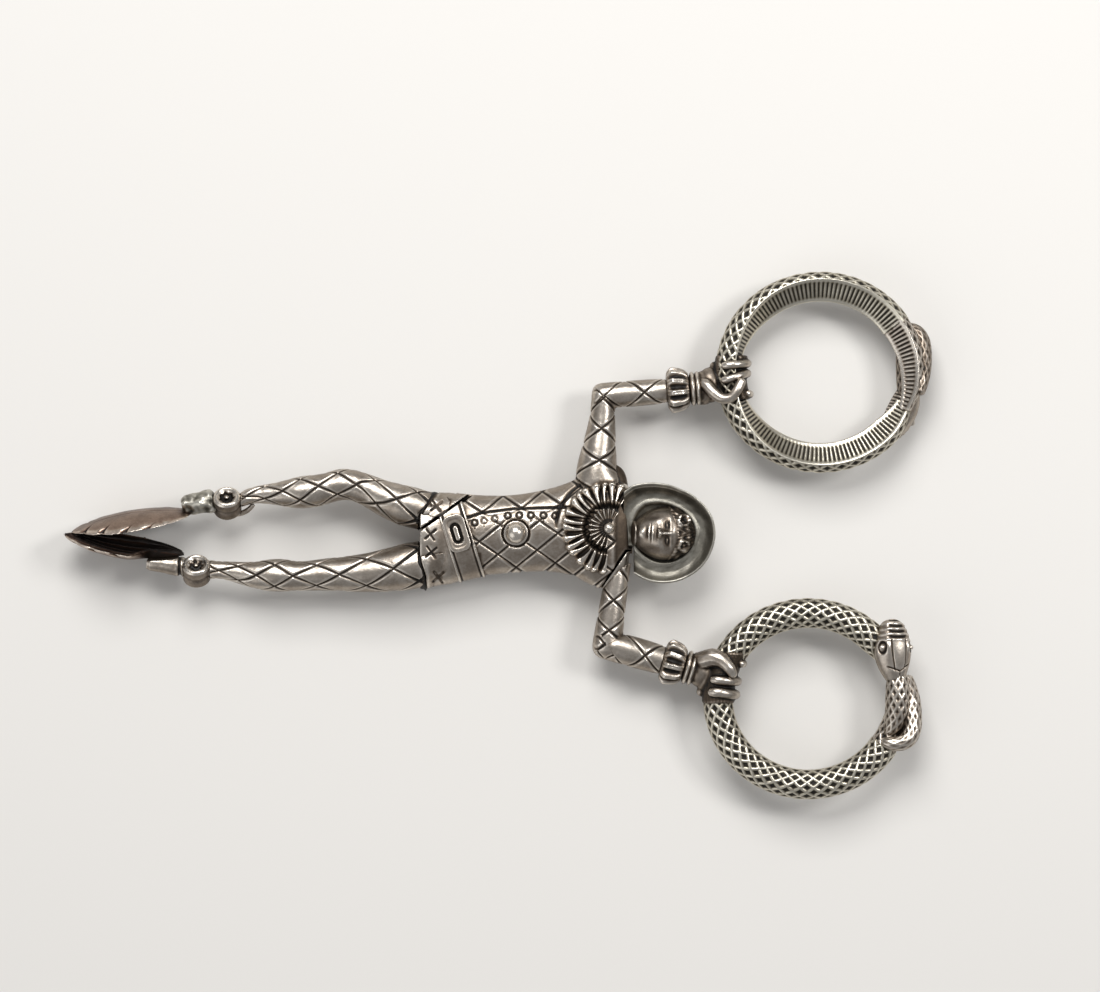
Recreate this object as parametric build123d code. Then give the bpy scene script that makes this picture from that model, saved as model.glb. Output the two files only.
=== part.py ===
from build123d import *
import os
from math import cos, degrees, radians, sin

# Figural sugar nips: two cast silver halves that cross at the waist of a costumed figure.
# The front half is the torso front, head, hat, upper arm in plan and lower leg in plan.
# The back half is the torso back, the other arm and the other leg. A rivet joins them.
# Lengths are millimetres. The pivot axis is x = 0, y = 0. +X runs to the finger loops,
# -X to the claws, +Z is the figure's front. z = 0 is the table.

# Heights and the pivot
mid_height = 4.8
slide_gap = 0.1
seam_gap = 0.35
cut_overrun = 20.0
shank_radius = 1.0
pivot_clearance = 0.05
ball_radius = 1.4
recess_radius = 1.9
recess_depth = 0.35
tail_flat_radius = 1.15

# Torso
torso_depth = 3.6
torso_half_width = 5.5
hip_reach = 13.7
neck_reach = 16.3
seam_angle = 35.5
belt_width = 3.6
belt_height = 0.4
belt_lean = 17.0
buckle_length = 5.2
buckle_width = 3.0
buckle_height = 0.8
buckle_rim = 0.3
buckle_slot_length = 3.0
buckle_slot_width = 1.5
buckle_tongue_width = 0.6

# Shoulder steps, where one half's arm passes the other half's plate
step_setback = 2.4
step_radius = neck_reach - step_setback
step_angle = 36.5
step_lean = 55.2
step_length = 7.2
step_return = 94
web_lean = 23.0
web_length = 4.0

# Ruffs
ruff_radius = 6.4
ruff_height = 1.15
ruff_pleat = 0.5
ruff_pleats = 19
ruff_start = 60
ruff_sweep = 202
inner_ruff_radius = 2.7
inner_ruff_height = 1.75
inner_ruff_pleat = 0.3
inner_ruff_pleats = 13
ruff_button_radius = 0.8
ruff_setback = 3.4
ruff_reach = neck_reach - ruff_setback
ruff_offset = 0.7

# Head and hat
head_past_neck = 4.1
head_reach = neck_reach + head_past_neck
head_half_length = 4.15
head_half_width = 3.35
head_lift = 1.35
neck_radius = 2.1
nose_radius = 0.55
brim_radius = 7.15
brim_wall = 0.75
brim_rise = 1.7
brim_lean = 8.0
crown_radius = 3.5
crown_depth = 2.4
hood_radius = 4.45
hood_tube = 0.5
hood_half_angle = 115
hat_past_head = 0.4
hat_reach = head_reach + hat_past_head
hat_swing_clearance = 0.4

# Arms
shoulder_side = 4.0
front_shoulder_setback = 5.0
front_elbow_side = 19.2
front_elbow_out = 0.95
front_forearm_length = 8.85
front_forearm_rise = 0.7
front_arm_radius = 1.8
front_shoulder_reach = neck_reach - front_shoulder_setback
front_elbow_reach = front_shoulder_reach + front_elbow_out
front_wrist_reach = front_elbow_reach + front_forearm_length
front_wrist_side = front_elbow_side + front_forearm_rise
back_shoulder_setback = 1.8
back_elbow_side = 15.6
back_elbow_in = 1.8
back_forearm_length = 7.8
back_forearm_rise = 2.2
back_arm_radius = 2.05
back_shoulder_reach = neck_reach - back_shoulder_setback
back_elbow_reach = back_shoulder_reach - back_elbow_in
back_wrist_reach = back_elbow_reach + back_forearm_length
back_wrist_side = back_elbow_side + back_forearm_rise

# Cuffs, wrist bands and hands
cuff_length = 3.2
cuff_radius = 3.05
cuff_lobes = 10
cuff_lobe_depth = 0.35
band_length = 1.6
band_radius = 2.4
band_wire = 0.45
wrist_radius = 1.9
palm_radius = 3.1
palm_thickness = 2.2
finger_radius = 0.6
finger_pitch = 1.85
finger_count = 3
finger_curl = 225
finger_tip_angle = 20
thumb_radius = 0.72
front_hand_length = 4.1
front_loop_rise = 2.6
back_hand_length = 3.0
back_loop_rise = 5.4

# Snake loops
loop_bore_radius = 10.0
snake_radius = 2.0
loop_start_angle = 44.0
neck_lap_angle = 3.0
loop_sweep_angle = 284.0
belly_angle = 59.0
belly_distance = 1.05
loop_widening = 0.6
loop_half_length = loop_bore_radius + snake_radius + loop_widening
wrist_length = cuff_length + band_length
front_loop_reach = front_wrist_reach + wrist_length + front_hand_length + loop_half_length
front_loop_side = front_wrist_side + front_loop_rise
back_loop_reach = back_wrist_reach + wrist_length + back_hand_length + loop_half_length
back_loop_side = back_wrist_side + back_loop_rise
front_grip_angle = 184.5
back_grip_angle = 163.5
snake_head_length = 8.2
snake_head_width = 5.6
snake_head_height = 3.7
coil_radius = 0.95

# Legs, both as long as lets the claws meet
front_hem_lap = 1.4
front_leg_length = 34.4
front_leg_side = 6.1
front_thigh_radius = 3.5
back_hem_lap = 1.2
back_leg_side = 6.8
back_thigh_radius = 3.0
claw_lap = 0.4
claw_stagger = 1.1
back_claw_setback = 2.6
front_hem_reach = hip_reach - front_hem_lap
back_hem_reach = hip_reach - back_hem_lap
front_claw_reach = front_hem_reach + front_leg_length - claw_lap
back_claw_reach = front_claw_reach - claw_stagger
back_leg_length = back_claw_reach - back_claw_setback - back_hem_reach

# Rosettes, shoes and claws
rosette_radius = 1.95
rosette_height = 1.75
rosette_sink = 1.1
rosette_lean = 42.0
rosette_offset = 0.6
rosette_bead = 0.42
rosette_rim = 0.5
rosette_block = 0.96
front_ankle_setback = 1.99
back_ankle_setback = 2.18
ribbon_radius = 0.35
ribbon_length = 7.3
ribbon_drop = 1.5
front_shoe_length = 5.0
back_shoe_length = 3.7
shoe_radius = 1.45
shoe_end_radius = 1.1
claw_length = 17.3
claw_half_width = 4.6
claw_depth = 1.7
claw_wall = 0.7
claw_twist = 18.0
claw_tip_gap = 0.3
front_claw_side = 3.1
back_claw_side = 2.9

# Shares of the sizes above, chosen by hand along each form
torso_shares = (
    # along hips (-) or neck (+), centre, half width, depth
    (-1.0, -0.18, 1.22, 0.94),
    (-0.85, -0.17, 1.19, 0.96),
    (-0.45, -0.06, 1.04, 0.93),
    (0.0, 0.0, 0.98, 0.92),
    (0.28, 0.09, 1.04, 0.96),
    (0.5, 0.14, 1.22, 1.0),
    (0.68, 0.16, 1.5, 0.9),
    (0.84, 0.16, 1.6, 0.7),
    (0.95, 0.14, 1.28, 0.5),
    (1.0, 0.08, 0.62, 0.38),
)
front_leg_shares = (
    # along, side, radius
    (-0.06, 0.66, 1.0),
    (0.0, 0.70, 1.0),
    (0.09, 0.774, 0.95),
    (0.27, 0.92, 0.76),
    (0.4, 0.95, 0.66),
    (0.52, 0.985, 0.6),
    (0.62, 0.97, 0.655),
    (0.7, 0.96, 0.56),
    (0.78, 0.9, 0.42),
    (0.88, 0.84, 0.38),
    (1.0, 0.765, 0.38),
)
back_leg_shares = (
    (-0.07, 0.33, 1.02),
    (0.0, 0.45, 1.0),
    (0.1, 0.56, 0.95),
    (0.2, 0.725, 0.83),
    (0.3, 0.92, 0.73),
    (0.38, 1.0, 0.72),
    (0.45, 0.94, 0.72),
    (0.53, 0.86, 0.765),
    (0.61, 0.825, 0.72),
    (0.7, 0.805, 0.54),
    (0.78, 0.79, 0.42),
    (0.85, 0.71, 0.36),
    (1.0, 0.64, 0.4),
)
claw_outline_shares = (
    # along, half width
    (0.0, 0.3),
    (0.2, 0.8),
    (0.38, 1.0),
    (0.56, 0.98),
    (0.74, 0.76),
    (0.89, 0.42),
    (1.0, 0.0),
)
thumb_shares = (
    # into the loop, toward the fingers, lift, in palm radii, then radius
    (-1.3, -0.57, 0.2, 1.0),
    (-0.63, -0.93, 0.5, 1.08),
    (-0.2, -0.82, 0.8, 1.12),
    (0.15, -0.37, 0.93, 1.0),
    (0.32, -0.03, 0.9, 0.8),
)
snake_head_shares = (
    # along, lift, half width, flatness
    (0.0, 0.1, 0.68, 0.98),
    (0.14, 0.25, 0.86, 0.82),
    (0.42, 0.35, 1.0, 0.66),
    (0.72, 0.38, 0.82, 0.64),
    (0.93, 0.36, 0.52, 0.76),
    (1.0, 0.34, 0.3, 0.85),
)
# angle round the loop, then places out and up in snake radii, and the tube's radius
snake_band_shares = (
    (-36, 0.0, 0.0, 0.95),
    (-24, 0.02, -0.08, 0.92),
    (-8, 0.08, -0.25, 0.8),
    (10, 0.15, -0.4, 0.62),
    (26, 0.2, -0.5, 0.42),
)
snake_coil_shares = (
    (13, 0.7, -0.75, 0.8),
    (4, 1.05, -0.35, 0.95),
    (-6, 1.2, 0.3, 1.0),
    (-15, 0.95, 0.85, 1.0),
    (-23, 0.25, 1.12, 0.9),
    (-27, -0.5, 0.95, 0.6),
)


def at(x, y, lift=0):
    # a point over the table, its height counted from the sliding plane
    return Vector(x, y, mid_height + lift)


def ring_section(point, along, radius, stretch=1, flat=1):
    # a round section square to its path, stretched where a bend mitres it
    side = Vector(0, 0, 1).cross(along)
    return Plane(origin=point, x_dir=side, z_dir=along) * Ellipse(radius * stretch, radius * flat)


def section_planes(points):
    # the mitre direction and stretch at each point of a path
    steps = [(b - a).normalized() for a, b in zip(points, points[1:])]
    found = []
    for i in range(len(points)):
        before = steps[max(i - 1, 0)]
        after = steps[min(i, len(steps) - 1)]
        along = (before + after).normalized()
        found.append((along, 1 / along.dot(after)))
    return found


def tapered_tube(points, radii, bends=(), flats=None):
    # lofts through round sections, one loft for each stretch between sharp bends
    planes = section_planes(points)
    flats = flats or [1] * len(points)
    sections = [
        ring_section(point, along, radius, stretch, flat)
        for point, (along, stretch), radius, flat in zip(points, planes, radii, flats)
    ]
    ends = [0, *bends, len(points) - 1]
    stretches = [loft(sections[a : b + 1]) for a, b in zip(ends, ends[1:])]
    shape = stretches[0]
    for more in stretches[1:]:
        shape += more
    return shape


def prism(corners, low, high):
    # an upright prism over a polygon in plan, between two heights from the sliding plane
    face = Polygon(*corners, align=None)
    return Pos(0, 0, mid_height + low) * extrude(face, high - low, dir=(0, 0, 1))


def shifted(corner, direction, distance):
    # a point in plan moved along an angle in degrees
    return (
        corner[0] + distance * cos(radians(direction)),
        corner[1] + distance * sin(radians(direction)),
    )


def mirrored(corners):
    return [(x, -y) for x, y in corners]


def hip_wedge(clearance):
    # plan of the hip that stays full round, beyond the slanting seam, on the +Y side
    crotch = shifted((-hip_reach, 0), seam_angle + 90, clearance)
    top = shifted(crotch, seam_angle, hip_reach + clearance)
    far = hip_reach + front_leg_length + cut_overrun
    return [crotch, top, (top[0], cut_overrun), (-far, cut_overrun), (-far, crotch[1])]


def arm_wedge(lean, length, clearance):
    # plan of the arm that stays full round, beyond its shoulder step, on the -Y side
    foot = shifted((0, 0), -step_angle, step_radius + clearance)
    top = shifted(foot, lean, length)
    low = shifted(foot, -step_angle - step_return, step_length / 2)
    far = front_loop_reach + cut_overrun
    deep = front_elbow_side + cut_overrun
    return [foot, top, (far, top[1]), (far, -deep), (0, -deep), low]


def front_hip_plan(clearance=0):
    return mirrored(hip_wedge(clearance))


def back_hip_plan(clearance=0):
    return hip_wedge(clearance)


def back_arm_plan(clearance=0):
    return arm_wedge(step_lean, step_length, clearance)


def front_arm_plan(clearance=0):
    # the back plate's web fills the corner beside the front arm, so this step leans less
    foot = shifted((0, 0), step_angle, step_radius + clearance)
    corner = shifted(foot, web_lean, web_length)
    low = shifted(foot, step_angle + step_return, step_length / 2)
    far = front_loop_reach + cut_overrun
    deep = front_elbow_side + cut_overrun
    above = front_elbow_side - step_length
    return [foot, corner, (corner[0] + slide_gap, above), (far, above), (far, deep), (0, deep), low]


def half_zone(face, foreign_plans, own_plans):
    # the space one half may fill: its side of the sliding plane, less the other half's
    # full-round limbs, plus its own full-round limbs through the plane
    low, high = (slide_gap / 2, cut_overrun) if face > 0 else (-cut_overrun, -slide_gap / 2)
    far = front_loop_reach + cut_overrun
    slab = prism([(-far, -far), (far, -far), (far, far), (-far, far)], low, high)
    for plan in foreign_plans:
        slab -= prism(plan, -cut_overrun, cut_overrun)
    for plan in own_plans:
        slab += prism(plan, -cut_overrun, cut_overrun)
    return slab


front_zone = half_zone(
    1,
    [back_hip_plan(), back_arm_plan()],
    [front_hip_plan(seam_gap), front_arm_plan(seam_gap)],
)
back_zone = half_zone(
    -1,
    [front_hip_plan(), front_arm_plan()],
    [back_hip_plan(seam_gap), back_arm_plan(seam_gap)],
)


def torso_body(skin=0):
    # the whole torso as one form, thicker by a skin where a belt or a ruff lies on it
    sections = []
    for along, centre, width, depth in torso_shares:
        reach = along * (neck_reach if along > 0 else hip_reach - seam_gap)
        plane = Plane(
            origin=at(reach, centre * torso_half_width), x_dir=(0, 1, 0), z_dir=(1, 0, 0)
        )
        ellipse = Ellipse(width * torso_half_width + skin, depth * torso_depth + skin)
        sections.append(plane * ellipse)
    return loft(sections)


torso = torso_body()


def pivot_bore(radius):
    return Pos(0, 0, mid_height) * Cylinder(radius, 2 * cut_overrun)


def legs():
    # each leg's centreline runs from inside its hem to the ankle
    front_points = [
        at(-front_hem_reach - along * front_leg_length, -out * front_leg_side)
        for along, out, _ in front_leg_shares
    ]
    front_radii = [front_thigh_radius * radius for _, _, radius in front_leg_shares]
    back_points = [
        at(-back_hem_reach - along * back_leg_length, out * back_leg_side)
        for along, out, _ in back_leg_shares
    ]
    back_radii = [back_thigh_radius * radius for _, _, radius in back_leg_shares]
    return {
        "front": (tapered_tube(front_points, front_radii), front_points),
        "back": (tapered_tube(back_points, back_radii), back_points),
    }


leg = legs()


def arms():
    # each arm runs from inside its shoulder to a mitred elbow and on to the wrist
    front_points = [
        at(front_shoulder_reach, shoulder_side),
        at(front_shoulder_reach, (shoulder_side + front_elbow_side) / 2.6),
        at((front_shoulder_reach + front_elbow_reach) / 2, front_elbow_side * 0.68),
        at(front_elbow_reach, front_elbow_side),
        at((front_elbow_reach + front_wrist_reach) / 2, (front_elbow_side + front_wrist_side) / 2),
        at(front_wrist_reach, front_wrist_side),
    ]
    front_radii = [front_arm_radius * share for share in (1.6, 1.58, 1.24, 1.0, 1.02, 0.95)]
    back_points = [
        at(back_shoulder_reach, -shoulder_side),
        at((back_shoulder_reach + back_elbow_reach) / 2, -back_elbow_side * 0.62),
        at(back_elbow_reach, -back_elbow_side),
        at((back_elbow_reach + back_wrist_reach) / 2, -(back_elbow_side + back_wrist_side) / 2),
        at(back_wrist_reach, -back_wrist_side),
    ]
    back_radii = [back_arm_radius * share for share in (0.8, 0.9, 1.0, 1.05, 0.98)]
    return {
        "front": (tapered_tube(front_points, front_radii, [3]), front_points),
        "back": (tapered_tube(back_points, back_radii, [2]), back_points),
    }


arm = arms()


def seat_lift():
    # height of the rivet's two seats from the sliding plane
    return chest_lift(0, 0) - recess_depth


def chest_lift(x, y):
    # height of the torso's front over a point in plan, from the sliding plane
    along = x / (neck_reach if x > 0 else hip_reach)
    for near, far in zip(torso_shares, torso_shares[1:]):
        if near[0] <= along <= far[0]:
            share = (along - near[0]) / (far[0] - near[0])
            centre, width, depth = (a + (b - a) * share for a, b in zip(near[1:], far[1:]))
            out = (y / torso_half_width - centre) / width
            return depth * torso_depth * max(1 - out * out, 0) ** 0.5
    return 0


def make_torso_halves():
    # both faces have the same dished seat round the rivet
    recess = Cylinder(recess_radius, cut_overrun, align=(Align.CENTER, Align.CENTER, Align.MIN))
    front = (torso & front_zone) - pivot_bore(shank_radius)
    front -= Pos(0, 0, mid_height + seat_lift()) * recess
    back = (torso & back_zone) - pivot_bore(shank_radius + pivot_clearance)
    back -= Pos(0, 0, mid_height - seat_lift()) * Rot(180, 0, 0) * recess
    return front, back


front_torso, back_torso = make_torso_halves()


def make_rivet():
    # ball head in front, plain shank, and a tail hammered flat that the nips rest on
    seat = mid_height + seat_lift()
    ball = Pos(0, 0, seat + ball_radius * 0.65) * Sphere(ball_radius)
    ball -= Cylinder(2 * ball_radius, seat, align=(Align.CENTER, Align.CENTER, Align.MIN))
    shank = Cylinder(shank_radius, seat, align=(Align.CENTER, Align.CENTER, Align.MIN))
    tail_height = mid_height - seat_lift() - slide_gap
    tail_radius = recess_radius - slide_gap
    side = ThreePointArc(
        (tail_flat_radius, 0),
        ((tail_flat_radius + tail_radius * 2) / 3, tail_height * 0.35),
        (tail_radius, tail_height),
    )
    edges = [
        side,
        Line((tail_radius, tail_height), (0, tail_height)),
        Line((0, tail_height), (0, 0)),
        Line((0, 0), (tail_flat_radius, 0)),
    ]
    return ball + shank + revolve(Plane.XZ * make_face(edges), Axis.Z)


def belt_plan():
    # a strip across the hips, leaning with the belt line
    middle = -hip_reach * 0.59
    along = 90 + belt_lean
    half = belt_width / 2
    reach = torso_half_width * 2
    corners = []
    for end, edge in ((-1, -1), (-1, 1), (1, 1), (1, -1)):
        corner = shifted((middle, 0), along, end * reach)
        corners.append(shifted(corner, along - 90, edge * half))
    return corners


def make_belts():
    # the belt's front run is on the front plate and its back run on the back plate
    skin = torso_body(belt_height) - torso
    strip = skin & prism(belt_plan(), slide_gap / 2, cut_overrun)
    back_strip = skin & prism(belt_plan(), -cut_overrun, -slide_gap / 2)
    return strip & front_zone, (back_strip & back_zone) - leg["back"][0]


def make_buckle(front_belt):
    # a rounded plate with a raised rim round a hollow, and a raised tongue in the hollow
    place = Pos(-hip_reach * 0.6, 0, mid_height) * Rot(0, 0, belt_lean)
    plate = RectangleRounded(buckle_width, buckle_length, buckle_width / 3)
    hollow = SlotOverall(buckle_slot_length, buckle_slot_width, rotation=90)
    tongue_length = buckle_slot_length + buckle_tongue_width - buckle_slot_width
    tongue = SlotOverall(tongue_length, buckle_tongue_width, rotation=90)
    body = extrude(plate, torso_depth + buckle_height - buckle_rim)
    body += extrude((plate - hollow) + tongue, torso_depth + buckle_height)
    return place * body - torso - front_belt


def pleat_section(angle, half_angle, distance, height, pleat):
    # a gabled section across one pleat, its eaves shared with the next pleats
    across = distance * sin(radians(half_angle)) / cos(radians(half_angle))
    turn = Rot(0, 0, angle)

    def lift(side, drop):
        spot = Pos(ruff_reach, ruff_offset, 0) * turn * Pos(distance, side, 0)
        return chest_lift(spot.position.X, spot.position.Y) + height - drop

    corners = [
        (-across, slide_gap),
        (across, slide_gap),
        (across, lift(across, pleat)),
        (0, lift(0, 0)),
        (-across, lift(-across, pleat)),
    ]
    place = Pos(ruff_reach, ruff_offset, mid_height) * turn * Pos(distance, 0, 0)
    return place * (Plane.YZ * Polygon(*corners, align=None))


def make_ruff(near, far, height, pleat, pleats):
    # a collar of pleats that fan out from the neck over the chest
    pitch = ruff_sweep / pleats
    folds = []
    for i in range(pleats):
        angle = ruff_start + pitch * (i + 0.5)
        sections = [
            pleat_section(angle, pitch / 2, distance, height, pleat * distance / far)
            for distance in (near, far)
        ]
        folds.append(loft(sections, ruled=True))
    return folds[0].fuse(*folds[1:])


def make_ruffs():
    outer = make_ruff(inner_ruff_radius * 0.9, ruff_radius, ruff_height, ruff_pleat, ruff_pleats)
    inner = make_ruff(
        ruff_button_radius / 2,
        inner_ruff_radius,
        inner_ruff_height,
        inner_ruff_pleat,
        inner_ruff_pleats,
    )
    outer = ((outer - torso) & front_zone) - arm["front"][0]
    return outer, inner - torso - outer


def make_ruff_button(ruffs):
    lift = chest_lift(ruff_reach, ruff_offset) + inner_ruff_height
    place = Pos(ruff_reach, ruff_offset, mid_height + lift)
    stem = Cylinder(
        ruff_button_radius, lift, align=(Align.CENTER, Align.CENTER, Align.MAX)
    )
    button = place * (Sphere(ruff_button_radius) + stem)
    return button - torso - ruffs[0] - ruffs[1]


def swing_space():
    # the other half's shoulder passes here, so the hat and hood keep out of it
    disc = Pos(0, 0, mid_height) * Cylinder(
        back_shoulder_reach + shoulder_side * 0.62 + hat_swing_clearance,
        2 * cut_overrun,
    )
    side = prism(
        [(0, -shoulder_side * 0.45), (cut_overrun * 2, -shoulder_side * 0.45),
         (cut_overrun * 2, -cut_overrun), (0, -cut_overrun)],
        -cut_overrun,
        cut_overrun,
    )
    return disc & side


def above_plane():
    far = front_loop_reach
    return prism([(-far, -far), (far, -far), (far, far), (-far, far)], slide_gap / 2, cut_overrun)


def make_head():
    # an egg of a head on a short neck, with nose and chin in relief
    place = at(head_reach, 0, head_lift)
    profile = Plane.XZ * (
        Ellipse(head_half_length, head_half_width)
        & Rectangle(
            2 * head_half_length, head_half_width, align=(Align.CENTER, Align.MIN)
        )
    )
    egg = Pos(*place) * revolve(profile, Axis.X)
    nose_root = Pos(*place) * Pos(head_half_length * 0.16, 0, head_half_width * 0.86)
    nose = tapered_tube(
        [
            (nose_root * Pos(head_half_length * share, 0, lift * nose_radius)).position
            for share, lift in ((0.2, 0.0), (0.05, 0.3), (-0.12, 0.75))
        ],
        [nose_radius * share for share in (0.6, 0.8, 1.0)],
    )
    chin = Pos(*place) * Pos(-head_half_length * 0.72, 0, head_half_width * 0.42)
    chin = chin * Sphere(head_half_width * 0.34)
    neck = tapered_tube(
        [at(neck_reach - neck_radius, 0, head_lift * 0.6), at(head_reach, 0, head_lift)],
        [neck_radius, neck_radius],
    )
    shape = (egg + nose + chin + neck) & above_plane()
    return shape - torso - swing_space()


def make_hat(head):
    # a dished brim turned up all round, a rolled inner edge round the face and a low crown
    inner = crown_radius
    outer = brim_radius
    rise = brim_rise
    profile = Plane.XZ * make_face(
        Line((inner, 0), (outer * 0.8, rise * 0.25))
        + ThreePointArc(
            (outer * 0.8, rise * 0.25),
            (outer * 0.93, rise * 0.55),
            (outer, rise),
        )
        + Line((outer, rise), (outer - brim_wall * 0.7, rise + brim_wall * 0.5))
        + ThreePointArc(
            (outer - brim_wall * 0.7, rise + brim_wall * 0.5),
            (outer * 0.86, rise * 0.55 + brim_wall * 0.6),
            (outer * 0.72, rise * 0.25 + brim_wall),
        )
        + Line((outer * 0.72, rise * 0.25 + brim_wall), (inner, brim_wall))
        + Line((inner, brim_wall), (inner, 0))
    )
    base = slide_gap + brim_radius * sin(radians(brim_lean))
    place = Pos(hat_reach, 0, mid_height + base) * Rot(brim_lean, 0, 0)
    brim = place * revolve(profile, Axis.Z)
    tube = Plane.XZ * Pos(hood_radius, 0) * Circle(hood_tube)
    hood = Rot(0, 0, -hood_half_angle) * revolve(tube, Axis.Z, revolution_arc=2 * hood_half_angle)
    hood = place * Pos(0, 0, brim_wall) * hood
    floor = place * Cylinder(
        hood_radius, brim_wall, align=(Align.CENTER, Align.CENTER, Align.MIN)
    )
    crown = Pos(hat_reach + crown_radius * 0.3, 0, mid_height + slide_gap / 2) * scale(
        Sphere(crown_radius), by=(1, 1, crown_depth / crown_radius)
    )
    crown &= Pos(0, 0, mid_height + base) * Box(
        4 * cut_overrun, cut_overrun, 2 * cut_overrun, align=(Align.CENTER, Align.CENTER, Align.MAX)
    )
    body = brim + hood + floor + crown
    behind_neck = prism(
        [(0, -cut_overrun), (neck_reach + seam_gap, -cut_overrun),
         (neck_reach + seam_gap, cut_overrun), (0, cut_overrun)],
        -cut_overrun,
        cut_overrun,
    )
    return body - behind_neck - head - torso - swing_space()


def limb_place(points):
    # a frame at the end of a limb, its X running on along the limb
    along = (points[-1] - points[-2]).normalized()
    return Plane(origin=points[-1], x_dir=along, z_dir=(0, 0, 1))


def lathe(corners):
    # a turned form about X from (along, radius) corners
    return revolve(Plane.XZ * Polygon(*corners, align=None), Axis.X)


def make_cuff(points):
    # a gathered frill: a flared ring, grooved lengthwise between its lobes
    body = lathe(
        [
            (0, 0),
            (0, cuff_radius * 0.86),
            (cuff_length * 0.25, cuff_radius),
            (cuff_length * 0.65, cuff_radius * 0.93),
            (cuff_length, cuff_radius * 0.7),
            (cuff_length, 0),
        ]
    )
    groove = Rot(0, 90, 0) * Cylinder(
        cuff_lobe_depth * 1.6, cuff_length * 3, align=(Align.CENTER, Align.CENTER, Align.CENTER)
    )
    for i in range(cuff_lobes):
        turn = Rot(360 / cuff_lobes * (i + 0.5), 0, 0)
        body -= turn * Pos(0, 0, cuff_radius + cuff_lobe_depth * 0.5) * groove
    return limb_place(points) * body


def make_band(points):
    # two round wires side by side round the wrist on a narrow sleeve
    body = Rot(0, 90, 0) * Cylinder(
        band_radius - band_wire, band_length, align=(Align.CENTER, Align.CENTER, Align.MIN)
    )
    for share in (0.28, 0.72):
        wire = Rot(0, 90, 0) * Torus(band_radius - band_wire / 2, band_wire)
        body += Pos(band_length * share, 0, 0) * wire
    return limb_place(points) * Pos(cuff_length, 0, 0) * body


def loop_place(half):
    # the loop's own frame: the front half's snake is the back half's turned over
    if half == "front":
        return Pos(front_loop_reach, front_loop_side, mid_height) * Rot(180, 0, 0)
    return Pos(back_loop_reach, -back_loop_side, mid_height)


def loop_radius():
    return loop_bore_radius + snake_radius


def polar(angle, radius, lift=0):
    # a point of the loop's own frame; loops are a little wider along X than along Y
    wide = radius + loop_widening
    return Vector(wide * cos(radians(angle)), radius * sin(radians(angle)), lift)


def make_loop_body(place):
    # round scaled back with a flat belly that faces inward and behind
    path = EllipticalCenterArc(
        (0, 0),
        loop_radius() + loop_widening,
        loop_radius(),
        start_angle=loop_start_angle,
        arc_size=loop_sweep_angle,
    )
    along = path % 0
    plane = Plane(origin=path @ 0, x_dir=along.cross(Vector(0, 0, 1)), z_dir=-along)
    distance = belly_distance + snake_radius
    belly = Pos(-distance * cos(radians(belly_angle)), -distance * sin(radians(belly_angle)))
    belly *= Rectangle(2 * snake_radius, 4 * snake_radius, rotation=belly_angle)
    return place * sweep(plane * (Circle(snake_radius) - belly), path=path)


def make_snake_head(place, body):
    # neck, broad flat skull and blunt snout, lying over the tail
    turn = degrees(snake_head_length / loop_radius())
    start = loop_start_angle + neck_lap_angle
    half_width = snake_head_width / 2
    swell = loop_radius() + half_width * 0.12
    points = [
        polar(start - turn * along, swell, lift * snake_head_height)
        for along, lift, _, _ in snake_head_shares
    ]
    radii = [half_width * width for _, _, width, _ in snake_head_shares]
    flats = [flat for _, _, _, flat in snake_head_shares]
    head = tapered_tube(points, radii, (), flats)
    eye_angle = start - turn * 0.42
    for out in (-0.72, 0.72):
        eye = polar(eye_angle, swell + half_width * out, snake_head_height * 0.55)
        head += Pos(*eye) * Sphere(half_width * 0.2)
    return place * head - body


def snake_tube(shares, radius):
    # a tube along the loop, its places and radii in shares of the snake's
    points = [
        polar(angle, loop_radius() + out * snake_radius, lift * snake_radius)
        for angle, out, lift, _ in shares
    ]
    return tapered_tube(points, [radius * share[3] for share in shares])


def make_snake_tail(place, body, head):
    # the tail end runs on behind the head, then its tip coils once over the front
    band = snake_tube(snake_band_shares, snake_radius)
    coil = snake_tube(snake_coil_shares, coil_radius)
    return place * (band + coil) - body - head


def grip_point(half):
    # where the fist closes on the snake, on the side of the loop nearest the wrist
    if half == "front":
        return at(front_loop_reach, front_loop_side) + polar(front_grip_angle, loop_radius())
    return at(back_loop_reach, -back_loop_side) + polar(back_grip_angle, loop_radius())


def make_hand(half, points, loop, band):
    # a fist: palm outside the snake, fingers across its front and the thumb over them
    away = 1 if half == "front" else -1
    grip = grip_point(half)
    wrist = (limb_place(points) * Pos(cuff_length + band_length, 0, 0)).position
    heel = grip - Vector(snake_radius * 0.4, 0, 0)
    hand = tapered_tube(
        [wrist, wrist * 0.55 + heel * 0.45, heel],
        [wrist_radius, palm_radius * 0.86, palm_radius],
        (),
        [1, palm_thickness / palm_radius / 0.86, palm_thickness / palm_radius],
    )
    wrap = snake_radius + finger_radius * 0.7
    ring = Pos(wrap, 0) * Circle(finger_radius)
    curl = Rot(0, finger_tip_angle - finger_curl, 0) * revolve(
        ring, Axis.Y, revolution_arc=finger_curl
    )
    tip = Rot(0, finger_tip_angle, 0) * Pos(wrap, 0, 0) * Sphere(finger_radius)
    for i in range(finger_count):
        step = Vector(0, away * finger_pitch * (i - 0.7), 0)
        hand += Pos(*(grip + step)) * (curl + tip)
    thumb_points = [
        grip + Vector(out, away * along, lift) * palm_radius for out, along, lift, _ in thumb_shares
    ]
    hand += tapered_tube(thumb_points, [thumb_radius * share[3] for share in thumb_shares])
    hand += Pos(*thumb_points[-1]) * Sphere(thumb_radius * thumb_shares[-1][3])
    return hand - loop - band


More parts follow.
